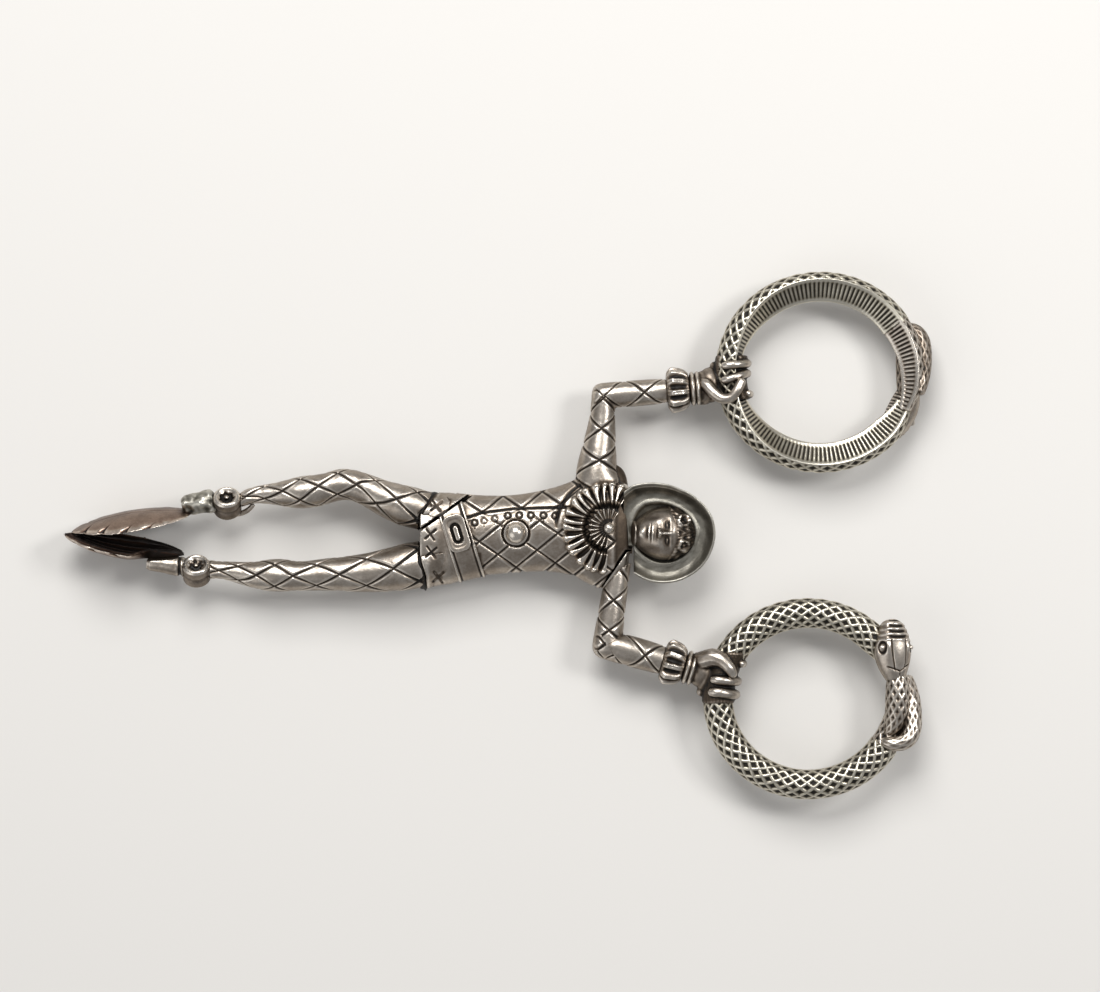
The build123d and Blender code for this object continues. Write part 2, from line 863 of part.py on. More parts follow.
def ankle_point(points):
    # the rosette's place on the leg, far enough from its end for the whole block
    setback = front_ankle_setback if points is leg["front"][1] else back_ankle_setback
    return points[-1] + (points[-2] - points[-1]).normalized() * setback


def past_ankle(points, side):
    # the space on the foot's side of the ankle block's near (1) or far (-1) end
    reach = ankle_point(points).X + side * rosette_radius * rosette_block
    far = reach - cut_overrun
    corners = [(far, -cut_overrun), (reach, -cut_overrun), (reach, cut_overrun), (far, cut_overrun)]
    return prism(corners, -cut_overrun, cut_overrun)


def make_rosette(shape, points):
    # a dished boss with a bead in its middle, leaning on the block where foot and leg meet
    foot = ankle_point(points) - Vector(0, rosette_offset, 0)
    floor = rosette_height - rosette_rim
    corners = [
        (0, -rosette_sink),
        (rosette_radius, -rosette_sink),
        (rosette_radius, rosette_height - rosette_rim / 2),
        (rosette_radius - rosette_rim / 2, rosette_height),
        (rosette_radius - rosette_rim, rosette_height),
        (rosette_bead, floor),
        (0, floor),
    ]
    boss = revolve(Plane.XZ * Polygon(*corners, align=None), Axis.Z)
    boss += Pos(0, 0, floor) * Sphere(rosette_bead)
    block = (shape & past_ankle(points, 1)) - past_ankle(points, -1)
    return Pos(*foot) * Rot(-rosette_lean, 0, 0) * boss + block


def make_ribbon(points):
    # a thin ribbon loop that hangs along the inner side of the ankle
    middle = ankle_point(points)
    half = ribbon_length / 2
    route = [
        middle + Vector(-half, -ribbon_drop * 0.5, -ribbon_drop * 0.3),
        middle + Vector(-half * 0.3, -ribbon_drop * 1.1, -ribbon_drop * 0.6),
        middle + Vector(half * 0.45, -ribbon_drop * 1.25, -ribbon_drop * 0.6),
        middle + Vector(half, -ribbon_drop * 0.35, -ribbon_drop * 0.3),
    ]
    return tapered_tube(route, [ribbon_radius] * len(route)) - leg["back"][0]


def make_shoe(half, shape, points):
    # the leg's end past the rosette, and a tapered shoe on it
    length = front_shoe_length if half == "front" else back_shoe_length
    body = lathe(
        [
            (0, 0),
            (0, shoe_radius * 0.9),
            (length * 0.12, shoe_radius),
            (length * 0.9, shoe_end_radius),
            (length, shoe_end_radius * 0.8),
            (length, 0),
        ]
    )
    return (shape & past_ankle(points, -1)) + limb_place(points) * body


def claw_forms():
    # the filled scoop and its wall, bounded by two nested tori that curve both ways
    across = (claw_half_width**2 + claw_depth**2) / (2 * claw_depth)
    half = claw_length / 2
    along = (half**2 + claw_depth**2) / (2 * claw_depth)
    place = Pos(half, 0, along - claw_depth) * Rot(90, 0, 0)
    leaf = extrude(claw_outline(), -2 * claw_depth)
    filled = (place * Torus(along - across, across)) & leaf
    return filled - place * Torus(along - across, across - claw_wall), filled


def claw_outline():
    # leaf outline with a round lobe between each two notches
    edges = []
    for way in (1, -1):
        notches = [
            (along * claw_length, way * width * claw_half_width)
            for along, width in claw_outline_shares
        ]
        edges += [lobe(near, far, way) for near, far in zip(notches, notches[1:])]
    root = claw_outline_shares[0][1] * claw_half_width
    return make_face(edges + [Line((0, root), (0, -root))])


def lobe(near, far, way):
    # one rounded lobe of the edge between two notches
    span = Vector(far[0] - near[0], far[1] - near[1])
    out = Vector(-span.Y, span.X) * way * 0.14
    crest = (Vector(*near) + Vector(*far)) / 2 + out
    return ThreePointArc(near, crest, far)


def claw_place(half):
    # the scoops face each other, twisted alike, and their tips all but meet in the middle
    way = 1 if half == "front" else -1
    reach, side = (
        (front_claw_reach, front_claw_side)
        if half == "front"
        else (back_claw_reach, back_claw_side)
    )
    rise = side - claw_tip_gap / 2
    run = (claw_length**2 - rise**2) ** 0.5
    toward = Vector(-run, way * rise, 0).normalized()
    level = Vector(way * rise, run, 0).normalized() * way
    opening = level * cos(radians(claw_twist)) + Vector(0, 0, way * sin(radians(claw_twist)))
    return Plane(origin=at(-reach, -way * side), x_dir=toward, z_dir=opening)


def build():
    front_belt, back_belt = make_belts()
    ruffs = make_ruffs()
    head = make_head()
    made = {
        "front_torso": front_torso,
        "back_torso": back_torso,
        "pivot_rivet": make_rivet(),
        "front_belt": front_belt,
        "back_belt": back_belt,
        "belt_buckle": make_buckle(front_belt),
        "outer_ruff": ruffs[0],
        "inner_ruff": ruffs[1],
        "ruff_button": make_ruff_button(ruffs),
        "head": head,
        "hat": make_hat(head),
    }
    for half, zone in (("front", front_zone), ("back", back_zone)):
        limb, points = arm[half]
        made[f"{half}_arm"] = (limb & zone) - torso
        made[f"{half}_cuff"] = make_cuff(points)
        band = make_band(points)
        made[f"{half}_wrist_band"] = band
        place = loop_place(half)
        loop = make_loop_body(place)
        snake_head = make_snake_head(place, loop)
        made[f"{half}_snake_loop"] = loop
        made[f"{half}_snake_head"] = snake_head
        made[f"{half}_snake_tail"] = make_snake_tail(place, loop, snake_head)
        made[f"{half}_hand"] = make_hand(half, points, loop, band)
        shape, points = leg[half]
        claw, filled_claw = (claw_place(half) * form for form in claw_forms())
        rosette = make_rosette(shape, points) - filled_claw
        shoe = make_shoe(half, shape, points) - rosette - filled_claw
        made[f"{half}_leg"] = (shape & zone) - torso - past_ankle(points, 1) - rosette
        made[f"{half}_rosette"] = rosette
        made[f"{half}_shoe"] = shoe
        made[f"{half}_claw"] = claw
    ribbon = make_ribbon(leg["back"][1])
    made["back_ribbon"] = ribbon - made["back_rosette"] - made["back_shoe"]
    return made


os.makedirs("parts", exist_ok=True)
for node, shape in build().items():
    export_step(shape, f"parts/{node}.step")
    bounds = shape.bounding_box()
    print(node, len(shape.solids()), round(shape.volume, 2), bounds.min, bounds.max)
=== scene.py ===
import math
import bpy
import bmesh
import numpy as np
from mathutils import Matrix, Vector, noise
from mathutils.bvhtree import BVHTree


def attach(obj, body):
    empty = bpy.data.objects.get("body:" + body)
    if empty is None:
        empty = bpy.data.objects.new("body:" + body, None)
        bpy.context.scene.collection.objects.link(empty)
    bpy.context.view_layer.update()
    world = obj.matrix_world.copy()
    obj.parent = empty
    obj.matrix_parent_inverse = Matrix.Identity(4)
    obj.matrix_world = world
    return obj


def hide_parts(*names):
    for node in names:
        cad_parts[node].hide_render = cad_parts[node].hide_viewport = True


# Figural sugar nips in old cast silver: a costumed figure whose feet are leaf claws
# and whose fists hold two snakes bent into finger loops. Shapes are worked out in
# millimetres and written to the meshes in metres.

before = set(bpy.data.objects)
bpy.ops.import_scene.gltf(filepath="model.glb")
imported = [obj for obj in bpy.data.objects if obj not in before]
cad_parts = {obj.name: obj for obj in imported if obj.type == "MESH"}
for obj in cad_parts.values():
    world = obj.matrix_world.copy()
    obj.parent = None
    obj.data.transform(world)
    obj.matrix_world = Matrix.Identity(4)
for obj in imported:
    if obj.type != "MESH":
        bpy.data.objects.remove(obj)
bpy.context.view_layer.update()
print("frame loaded")

mm = 0.001
midHeight = 4.8          # the two halves slide on this plane
pixelSize = 0.14         # one pixel of the plan view that the places were read from
hipReach = 13.7          # from the rivet to the skirt's hem
halves = ("front", "back")
pieces = []              # every new piece, in the order it is made


# small helpers
def spot(px, py):
    # a plan place, from the picture's pixels to millimetres round the rivet
    return (px - 516) * pixelSize, (533 - py) * pixelSize


def blendStep(low, high, value):
    t = np.clip((value - low) / (high - low), 0, 1)
    return t * t * (3 - 2 * t)


def bump(distance, width):
    return np.exp(-(distance / width) ** 2)


def lineGap(phase):
    return np.abs(phase - np.round(phase))


def mark(shape, raised, dark=0.0):
    # what one raised or engraved shape adds to a skin's height and darkening; the darkening holds dirt and,
    # at some marks, painted shade
    return np.array([raised * shape, dark * shape])


def readPoints(mesh):
    flat = np.empty(len(mesh.vertices) * 3, np.float32)
    mesh.vertices.foreach_get("co", flat)
    return flat.reshape(-1, 3).astype(float) / mm


def writePoints(mesh, points):
    mesh.vertices.foreach_set("co", (points * mm).astype(np.float32).ravel())
    mesh.update()


def reshape(piece, change):
    # change(points) -> points, in millimetres
    writePoints(piece.data, change(readPoints(piece.data)))


def readNormals(mesh):
    flat = np.empty(len(mesh.vertices) * 3, np.float32)
    mesh.vertex_normals.foreach_get("vector", flat)
    return flat.reshape(-1, 3).astype(float)


def readEdges(mesh):
    flat = np.empty(len(mesh.edges) * 2, np.int32)
    mesh.edges.foreach_get("vertices", flat)
    return flat.reshape(-1, 2)


def meanOfNeighbours(values, edges):
    a, b = edges.T
    count = len(values)
    degree = np.maximum(np.bincount(a, minlength=count) + np.bincount(b, minlength=count), 1)
    total = np.empty_like(values)
    for k in range(values.shape[1]):
        total[:, k] = np.bincount(a, values[b, k], count) + np.bincount(b, values[a, k], count)
    return total / degree[:, None]


def relax(points, edges, rounds, share=0.6):
    for _ in range(rounds):
        points = points + share * (meanOfNeighbours(points, edges) - points)
    return points


def readAttribute(mesh, name):
    if name not in mesh.attributes:
        return np.zeros(len(mesh.vertices))
    found = np.empty(len(mesh.vertices), np.float32)
    mesh.attributes[name].data.foreach_get("value", found)
    return found.astype(float)


def writeAttribute(mesh, name, values):
    layer = mesh.attributes.get(name) or mesh.attributes.new(name, "FLOAT", "POINT")
    layer.data.foreach_set("value", values.astype(np.float32))


def addObject(name, bm):
    mesh = bpy.data.meshes.new(name)
    bm.to_mesh(mesh)
    bm.free()
    piece = bpy.data.objects.new(name, mesh)
    bpy.context.scene.collection.objects.link(piece)
    return piece


def mergeDoubles(piece):
    bm = bmesh.new()
    bm.from_mesh(piece.data)
    bmesh.ops.remove_doubles(bm, verts=bm.verts, dist=0.004 * mm)
    bmesh.ops.recalc_face_normals(bm, faces=bm.faces)
    bm.to_mesh(piece.data)
    bm.free()


def evenSkin(piece, voxel):
    # one even skin over everything inside the piece, as a casting has
    modifier = piece.modifiers.new("evenSkin", "REMESH")
    modifier.mode = "VOXEL"
    modifier.voxel_size = voxel * mm
    graph = bpy.context.evaluated_depsgraph_get()
    skin = bpy.data.meshes.new_from_object(piece.evaluated_get(graph))
    piece.modifiers.clear()
    old = piece.data
    piece.data = skin
    bpy.data.meshes.remove(old)


def castCopy(name, node, voxel, rounds=3):
    # the CAD solid's own form as one even skin, ready to be chased
    bm = bmesh.new()
    bm.from_mesh(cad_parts[node].data)
    bmesh.ops.remove_doubles(bm, verts=bm.verts, dist=0.003 * mm)
    piece = addObject(name, bm)
    evenSkin(piece, voxel)
    reshape(piece, lambda points: relax(points, readEdges(piece.data), rounds, 0.5))
    return piece


def chase(piece, relief):
    # pushes the skin in and out along its normals and notes where it is darker, from dirt and, at some marks,
    # from painted shade
    mesh = piece.data
    points = readPoints(mesh)
    normals = readNormals(mesh)
    height, dirtAndShade = relief(points, normals)
    writeAttribute(mesh, "dirtAndShade", readAttribute(mesh, "dirtAndShade") + dirtAndShade)
    writePoints(mesh, points + normals * height[:, None])


def gridPiece(name, alongSteps, aroundSteps, place):
    # a create_grid sheet whose (u, v) go through place(u, v) -> points, dirt
    bm = bmesh.new()
    bmesh.ops.create_grid(bm, x_segments=alongSteps, y_segments=aroundSteps, size=0.5)
    piece = addObject(name, bm)
    flat = readPoints(piece.data) * mm
    points, dirtAndShade = place(flat[:, 0] + 0.5, flat[:, 1] + 0.5)
    writeAttribute(piece.data, "dirtAndShade", dirtAndShade)
    writePoints(piece.data, points)
    mergeDoubles(piece)
    return piece


def joinPieces(name, parts):
    bm = bmesh.new()
    for part in parts:
        bm.from_mesh(part.data)
        mesh = part.data
        bpy.data.objects.remove(part)
        bpy.data.meshes.remove(mesh)
    return addObject(name, bm)


def smoothLine(points, steps):
    # a Catmull-Rom line through the points, evenly numbered
    points = np.array(points, float)
    padded = np.vstack([2 * points[0] - points[1], points, 2 * points[-1] - points[-2]])
    t = np.linspace(0, len(points) - 1 - 1e-9, steps)
    i = t.astype(int)
    f = (t - i)[:, None]
    p0, p1, p2, p3 = (padded[i + k] for k in range(4))
    return 0.5 * (2 * p1 + (p2 - p0) * f + (2 * p0 - 5 * p1 + 4 * p2 - p3) * f**2
                  + (3 * p1 - p0 - 3 * p2 + p3) * f**3)


def rowsAt(share, rows):
    # the rows of a table read at a share of its length, between its rows too
    grid = np.arange(len(rows))
    return np.stack([np.interp(share * (len(rows) - 1), grid, column) for column in rows.T], 1)


def tubeFrame(line):
    # unit side and lift vectors square to a line, and the length run so far
    tangent = np.gradient(line, axis=0)
    tangent /= np.linalg.norm(tangent, axis=1)[:, None]
    side = np.cross((0.0, 0.0, 1.0), tangent)
    side /= np.maximum(np.linalg.norm(side, axis=1), 1e-9)[:, None]
    lift = np.cross(tangent, side)
    run = np.concatenate([[0], np.cumsum(np.linalg.norm(np.diff(line, axis=0), axis=1))])
    return side, lift, run


def tubePiece(name, points, radii, steps, sides, relief=None, flats=None):
    # a closed tube along a smooth line; relief(run, angle, radius) -> height, dirt
    line = smoothLine(points, 240)
    width = smoothLine([[r, f * r] for r, f in zip(radii, flats or [1] * len(radii))], 240)
    side, lift, run = tubeFrame(line)

    def place(u, v):
        # the first and last rings close to a point, over a rounded end
        ends = np.clip(np.minimum(u, 1 - u) * steps / 6, 0, 1)
        closing = np.sqrt(np.maximum(1 - (1 - ends) ** 2, 0))
        at, across, above = (rowsAt(u, rows) for rows in (line, side, lift))
        wide, high = rowsAt(u, width).T
        angle = v * 2 * math.pi
        height, dirtAndShade = np.zeros((2, len(u)))
        if relief:
            height, dirtAndShade = relief(rowsAt(u, run[:, None])[:, 0], angle, wide)
        out = (wide + height) * closing
        rise = (high + height) * closing
        at = at + across * (out * np.cos(angle))[:, None] + above * (rise * np.sin(angle))[:, None]
        return at, dirtAndShade

    return gridPiece(name, steps, sides, place)


def turned(name, profile, centre, axis, steps):
    # a full turn of a (radius, height) profile about an axis through centre
    bm = bmesh.new()
    verts = [bm.verts.new(Vector((r * mm, 0, h * mm))) for r, h in profile]
    edges = [bm.edges.new(pair) for pair in zip(verts, verts[1:])]
    bmesh.ops.spin(bm, geom=verts + edges, cent=(0, 0, 0), axis=(0, 0, 1), dvec=(0, 0, 0),
                   angle=2 * math.pi, steps=steps, use_merge=True)
    bmesh.ops.remove_doubles(bm, verts=bm.verts, dist=0.003 * mm)
    turn = Vector(axis).to_track_quat("Z", "Y").to_matrix().to_4x4()
    bmesh.ops.transform(bm, matrix=turn, verts=bm.verts)
    bmesh.ops.translate(bm, vec=Vector(centre) * mm, verts=bm.verts)
    bmesh.ops.recalc_face_normals(bm, faces=bm.faces)
    return addObject(name, bm)


def keepPiece(piece, body, *nodes):
    for polygon in piece.data.polygons:
        polygon.use_smooth = True
    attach(piece, body)
    if nodes:
        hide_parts(*nodes)
    pieces.append(piece)


def chaseHalves(part, node, voxel, relief, before=None, after=None, rounds=3):
    # each half's piece of one kind is cast, chased with relief(half) and kept;
    # before(half, piece) and after(half, piece) change it on either side of the chasing
    for half in halves:
        piece = castCopy(half + part + "Silver", half + "_" + node, voxel, rounds)
        if before:
            before(half, piece)
        chase(piece, relief(half))
        if after:
            after(half, piece)
        keepPiece(piece, half + "_half", half + "_" + node)


# the engraved costume
lozenge = {
    "cutWidth": 0.125,     # half width of an engraved line
    "cutDepth": 0.2,
    "pillow": 0.08,        # how far each lozenge is domed between its lines
    "pillowWidth": 0.55,
    "burr": 0.03,          # metal pushed up beside the line
}


def lozengeRelief(along, across, slopeAlong, slopeAcross):
    # two crossing families of engraved lines, from phases and their slopes per mm
    slope = np.hypot(slopeAlong, slopeAcross)
    gapA = lineGap(along + across) / slope
    gapB = lineGap(along - across) / slope
    near = np.minimum(gapA, gapB)
    cut = bump(near, lozenge["cutWidth"])
    height = -lozenge["cutDepth"] * cut - lozenge["pillow"] * bump(near, lozenge["pillowWidth"])
    height += lozenge["burr"] * bump(near - 0.36, 0.12)
    return height, 0.52 * cut


def limbRelief(phase, turns, centres, radii):
    # lozenges round a limb that lies along X: phase(x) counts crossings, turns is starts
    xs, ys = centres

    def relief(points, normals):
        x, y, z = points.T
        cy = np.interp(x, xs, ys)
        radius = np.interp(x, xs, radii)
        angle = np.arctan2(y - cy, z - midHeight)
        along = np.interp(x, *phase)
        slopeAlong = np.abs(np.interp(x + 0.1, *phase) - np.interp(x - 0.1, *phase)) / 0.2
        across = angle / (2 * math.pi) * turns
        height, dirtAndShade = lozengeRelief(along, across, slopeAlong, turns / (2 * math.pi * radius))
        outward = np.stack([np.zeros(len(x)), np.sin(angle), np.cos(angle)], 1)
        on = blendStep(0.25, 0.7, (outward * normals).sum(1))
        on *= blendStep(0.1, -0.1, x - hemPlace("front" if ys[0] < 0 else "back", y))
        return height * on, dirtAndShade * on

    return relief


torsoForm = np.array((  # reach, centre, half width and depth along the torso
    (-hipReach, -0.99, 6.71, 3.38), (-6.2, -0.33, 5.72, 3.35), (0.0, 0.0, 5.39, 3.31),
    (4.56, 0.5, 5.72, 3.46), (8.15, 0.77, 6.71, 3.6), (11.08, 0.88, 8.25, 3.24), (13.69, 0.88, 8.8, 2.52),
    (15.49, 0.77, 7.04, 1.8), (16.3, 0.44, 3.41, 1.37), (21.0, 0.3, 3.4, 1.2)))


def hipSection(x):
    return tuple(np.interp(x, torsoForm[:, 0], torsoForm[:, k]) for k in (1, 2, 3))


def chestLift(x, y):
    centre, width, depth = hipSection(x)
    out = (y - centre) / width
    return depth * np.sqrt(np.maximum(1 - out**2, 0.0))


# legs
legs = {
    "voxel": 0.1,
    "starts": 4,
    # plan pixels where lines cross on the front, and the row they lie on
    "frontCrossings": (183, 219.5, 256.6, 293.9, 340, 394, 446),
    "backCrossings": (191, 228, 264.7, 300.6, 338, 376, 418, 460),
    "backRow": -0.09,
}
legLines = {      # reach, side and radius along each leg
    "front": ([-46.7, -42.6, -37.4, -31.1, -23.8, -20.0, -15.4, -12.3],
              [-4.7, -5.1, -5.85, -6.0, -5.75, -5.35, -4.7, -4.2],
              [1.35, 1.35, 1.9, 2.05, 2.35, 2.75, 3.3, 3.5]),
    "back": ([-42.6, -38.1, -36.0, -33.6, -31.0, -26.0, -21.5, -18.5, -15.5, -12.5],
             [4.4, 4.8, 5.4, 5.5, 5.6, 6.4, 6.3, 4.9, 3.8, 3.0],
             [1.25, 1.1, 1.4, 1.85, 2.2, 2.2, 2.2, 2.45, 2.85, 3.0]),
}


skirt = {
    "crosses": ((432, 552), (438.5, 577), (431, 534), (437, 505.6), (428, 500)),
    "crossArm": 1.25,
    "seam": ((416, 531.3), (471, 495.4)),      # where the two halves' hips meet
    "hem": -13.35,
    "crossCut": (-0.18, 0.6), "seamCutAndShadow": (-0.2, 0.8),      # how deep and how dark; the seam's darkness is painted shadow in the gap
}


def skirtCuts(x, y):
    # height and dirt of short engraved crosses, and height and painted shadow of the dark line in the gap
    # between the halves
    crosses = np.zeros(len(x))
    for px, py in skirt["crosses"]:
        cx, cy = spot(px, py)
        for lean in (0.7, -0.95):
            along = (x - cx) * math.cos(lean) + (y - cy) * math.sin(lean)
            off = -(x - cx) * math.sin(lean) + (y - cy) * math.cos(lean)
            stroke = bump(off, 0.15) * blendStep(skirt["crossArm"], skirt["crossArm"] * 0.7, np.abs(along))
            crosses = np.maximum(crosses, stroke)
    (ax, ay), (bx, by) = (spot(*p) for p in skirt["seam"])
    run = math.hypot(bx - ax, by - ay)
    ux, uy = (bx - ax) / run, (by - ay) / run
    along = (x - ax) * ux + (y - ay) * uy
    off = -(x - ax) * uy + (y - ay) * ux
    # the seam's line is painted dark: the shadow in the gap between the two halves
    seam = bump(off, 0.17) * blendStep(-0.3, 0.2, along) * blendStep(run + 0.3, run - 0.2, along)
    return mark(crosses, *skirt["crossCut"]), mark(seam, *skirt["seamCutAndShadow"])


def crossingPhase(pixels):
    return [spot(px, 0)[0] for px in pixels], list(range(len(pixels)))


def hemPlace(half, y):
    # where the skirt's edge crosses each leg; it slants over the back half's leg
    if half == "back":
        return skirt["hem"] + 0.6 * np.clip(y - 2.2, 0, 4.5)
    return skirt["hem"] + 0.8 * blendStep(-3.0, -6.5, y)


def skirtTop(half, piece):
    # the top of each leg is the skirt's lap: plain, proud of the leg and flush with the hip
    points, normals = readPoints(piece.data), readNormals(piece.data)
    x, y, _ = points.T
    hem = hemPlace(half, y)
    onSkirt = blendStep(hem - 0.05, hem + 0.15, x)
    height = 0.1 * onSkirt - 0.2 * blendStep(hem - 3.5, hem - 0.2, x) * (1 - onSkirt)
    groove = bump(x - hem + 0.12, 0.16)
    grown = points + normals * (height - 0.28 * groove)[:, None]
    # its end runs on a little and lies down on the hip's oval section
    grown[:, 0] += 0.45 * blendStep(-12.0, -10.5, x)
    centre, width, depth = hipSection(grown[:, 0])
    oval = np.hypot((grown[:, 1] - centre) / width, (grown[:, 2] - midHeight) / depth)
    shrink = 1 - blendStep(-12.9, -10.9, x) * np.maximum(1 - 1.014 / np.maximum(oval, 0.1), 0)
    grown[:, 1] = centre + (grown[:, 1] - centre) * shrink
    grown[:, 2] = midHeight + (grown[:, 2] - midHeight) * shrink
    # where the hip is the higher, the lap lies on it
    lift = np.abs(grown[:, 2] - midHeight)
    hip = depth * 1.014 * np.sqrt(np.maximum(1 - ((grown[:, 1] - centre) / width) ** 2, 0))
    upper = 0.5 * (lift + hip + np.sqrt((lift - hip) ** 2 + 0.06))
    lay = onSkirt * blendStep(0.3, 0.65, np.abs(normals[:, 2]))
    front = onSkirt * blendStep(0.2, 0.5, normals[:, 2])
    # the crosses and the seam go onto the lap too, the seam with its painted shadow
    sunk, dark = front * sum(skirtCuts(grown[:, 0], grown[:, 1]))
    lift = lift + lay * (upper - lift) + sunk
    grown[:, 2] = midHeight + np.sign(grown[:, 2] - midHeight) * lift
    writePoints(piece.data, grown)
    writeAttribute(piece.data, "dirtAndShade", readAttribute(piece.data, "dirtAndShade") + 0.6 * groove + dark)


def legRelief(half):
    line = legLines[half]
    plain = limbRelief(crossingPhase(legs[half + "Crossings"]), legs["starts"], line[:2], line[2])
    if half == "front":
        return plain
    c, s = math.cos(legs["backRow"] * 2 * math.pi), math.sin(legs["backRow"] * 2 * math.pi)

    def relief(points, normals):
        # the lozenges' row is turned a little round the leg
        middle = np.zeros_like(points)
        middle[:, 1], middle[:, 2] = np.interp(points[:, 0], *line[:2]), midHeight
        turn = np.array([[1, 0, 0], [0, c, s], [0, -s, c]])
        return plain(middle + (points - middle) @ turn, normals @ turn)

    return relief


chaseHalves("Leg", "leg", legs["voxel"], legRelief, after=skirtTop)
print("legs chased")

# arms
arms = {
    "voxel": 0.1,
    "starts": 2,
    # crossings on the front: y pixels down the upper arm, x pixels along the forearm
    "frontUpper": (368.7, 398.7, 428.4, 460, 492),
    "frontFore": (562.9, 603.6, 644.3, 685),
    "backUpper": (568, 600, 630, 661),
    "backFore": (563, 604, 645, 686),
    "frontElbow": (12.25, 19.2),
    "frontWrist": (21.1, 19.9),
    "frontShoulder": (11.3, 4.0),
    "backElbow": (12.7, -15.6),
    "backWrist": (20.5, -17.8),
    "backShoulder": (14.5, -4.0),
    "elbowWorn": 0.8,      # 1 would be a full round
    "flare": 1.6,
    "radius": 1.85,
    "foreStep": 41, "upperStep": 30.5,      # pixels from one crossing to the next
}


def armLine(half):
    return (np.array(arms[half + part]) for part in ("Shoulder", "Elbow", "Wrist"))


def armRelief(half):
    shoulder, elbow, wrist = armLine(half)
    upper = sorted(spot(0, py)[1] for py in arms[half + "Upper"])
    fore = [spot(px, 0)[0] for px in arms[half + "Fore"]]
    # the elbow's crossing is 0
    counts = np.arange(len(upper)) - (len(upper) - 2 if half == "front" else 1)

    def gapTo(flat, start, end):
        run = end - start
        t = np.clip((flat - start) @ run / (run @ run), -0.4, 1.4)
        return np.linalg.norm(flat - start - t[:, None] * run, axis=1)

    def relief(points, normals):
        flat = points[:, :2]
        onFore = gapTo(flat, elbow, wrist) < gapTo(flat, shoulder, elbow)
        acrossU = np.array([elbow[1] - shoulder[1], shoulder[0] - elbow[0]])
        acrossF = np.array([elbow[1] - wrist[1], wrist[0] - elbow[0]])
        acrossU, acrossF = (a / np.linalg.norm(a) for a in (acrossU, acrossF))
        outU = (flat - shoulder) @ acrossU
        outF = (flat - elbow) @ acrossF
        out = np.where(onFore, outF, outU)
        angle = np.arctan2(out, points[:, 2] - midHeight)
        phaseU = np.interp(flat[:, 1], upper, counts)
        phaseF = np.interp(flat[:, 0], fore, [-1, 0, 1, 2])
        along = np.where(onFore, phaseF, phaseU)
        slopeAlong = 1 / (np.where(onFore, arms["foreStep"], arms["upperStep"]) * pixelSize)
        across = angle / (2 * math.pi) * arms["starts"]
        slopeAcross = arms["starts"] / (2 * math.pi * arms["radius"])
        height, dirtAndShade = lozengeRelief(along, across, slopeAlong, slopeAcross)
        outward = np.zeros_like(points)
        outward[:, :2] = np.sin(angle)[:, None] * np.where(onFore[:, None], acrossF, acrossU)
        outward[:, 2] = np.cos(angle)
        on = blendStep(0.25, 0.7, (outward * normals).sum(1))
        return height * on, dirtAndShade * on

    return relief


def roundElbow(half, points):
    # the outer corner of the mitre is worn round
    shoulder, elbow, wrist = armLine(half)
    toShoulder = (shoulder - elbow) / np.linalg.norm(shoulder - elbow)
    toWrist = (wrist - elbow) / np.linalg.norm(wrist - elbow)
    past = points[:, :2] - elbow
    s, t = np.maximum(-past @ toShoulder, 0), np.maximum(-past @ toWrist, 0)
    far = np.maximum(np.hypot(s, t), 1e-6)
    worn = arms["elbowWorn"] * (1 - np.maximum(s, t) / far) * ((s > 0) & (t > 0))
    grown = points.copy()
    grown[:, :2] += (toShoulder * s[:, None] + toWrist * t[:, None]) * worn[:, None]
    return grown


def wearArm(half, piece):
    points = roundElbow(half, readPoints(piece.data))
    if half == "front":
        # the shoulder flares to meet the hat's brim
        x, y, _ = points.T
        centreLine = arms["frontShoulder"][0] + (y - arms["frontShoulder"][1]) * 0.0625
        flare = blendStep(9.8, 5.0, y) * blendStep(0.0, 1.0, (x - centreLine) / 1.9)
        points[:, 0] += arms["flare"] * flare
    writePoints(piece.data, points)


chaseHalves("Arm", "arm", arms["voxel"], armRelief, after=wearArm)
print("arms chased")

# torso
belt = {"voxel": 0.07, "middle": -0.59 * hipReach, "lean": 17.0, "width": 3.6, "edge": 0.35,
        "taper": 0.42}
torso = {
    "voxel": 0.1,
    "latticeAt": (498, 554),
    "latticeDown": (18.3, 12.6),
    "latticeUp": (20.8, -16.8),
    "jacketEdge": ((440, 524), (471, 518), (479, 514.4), (515, 509.8), (561, 508.7), (580, 508.7)),
    "jacketHeight": 0.2,
    "buttons": ((475, 523), (484.5, 521), (495, 519), (508, 516), (519.4, 515.6), (531, 515.5),
                (543.5, 515.8), (555, 516)),
    "buttonRadius": 0.52,
    "neckStart": 13.4,
    "armholeRadius": 7.0,
    "ruffCentre": (12.9, 0.7),
    "rivetRing": 1.98, "rivetSeat": 1.7,      # radii of the ring and the flat round the rivet
    "shoulder": 13.6, "shoulderTuck": 0.8,    # past this reach the back's is drawn in, by this share
}


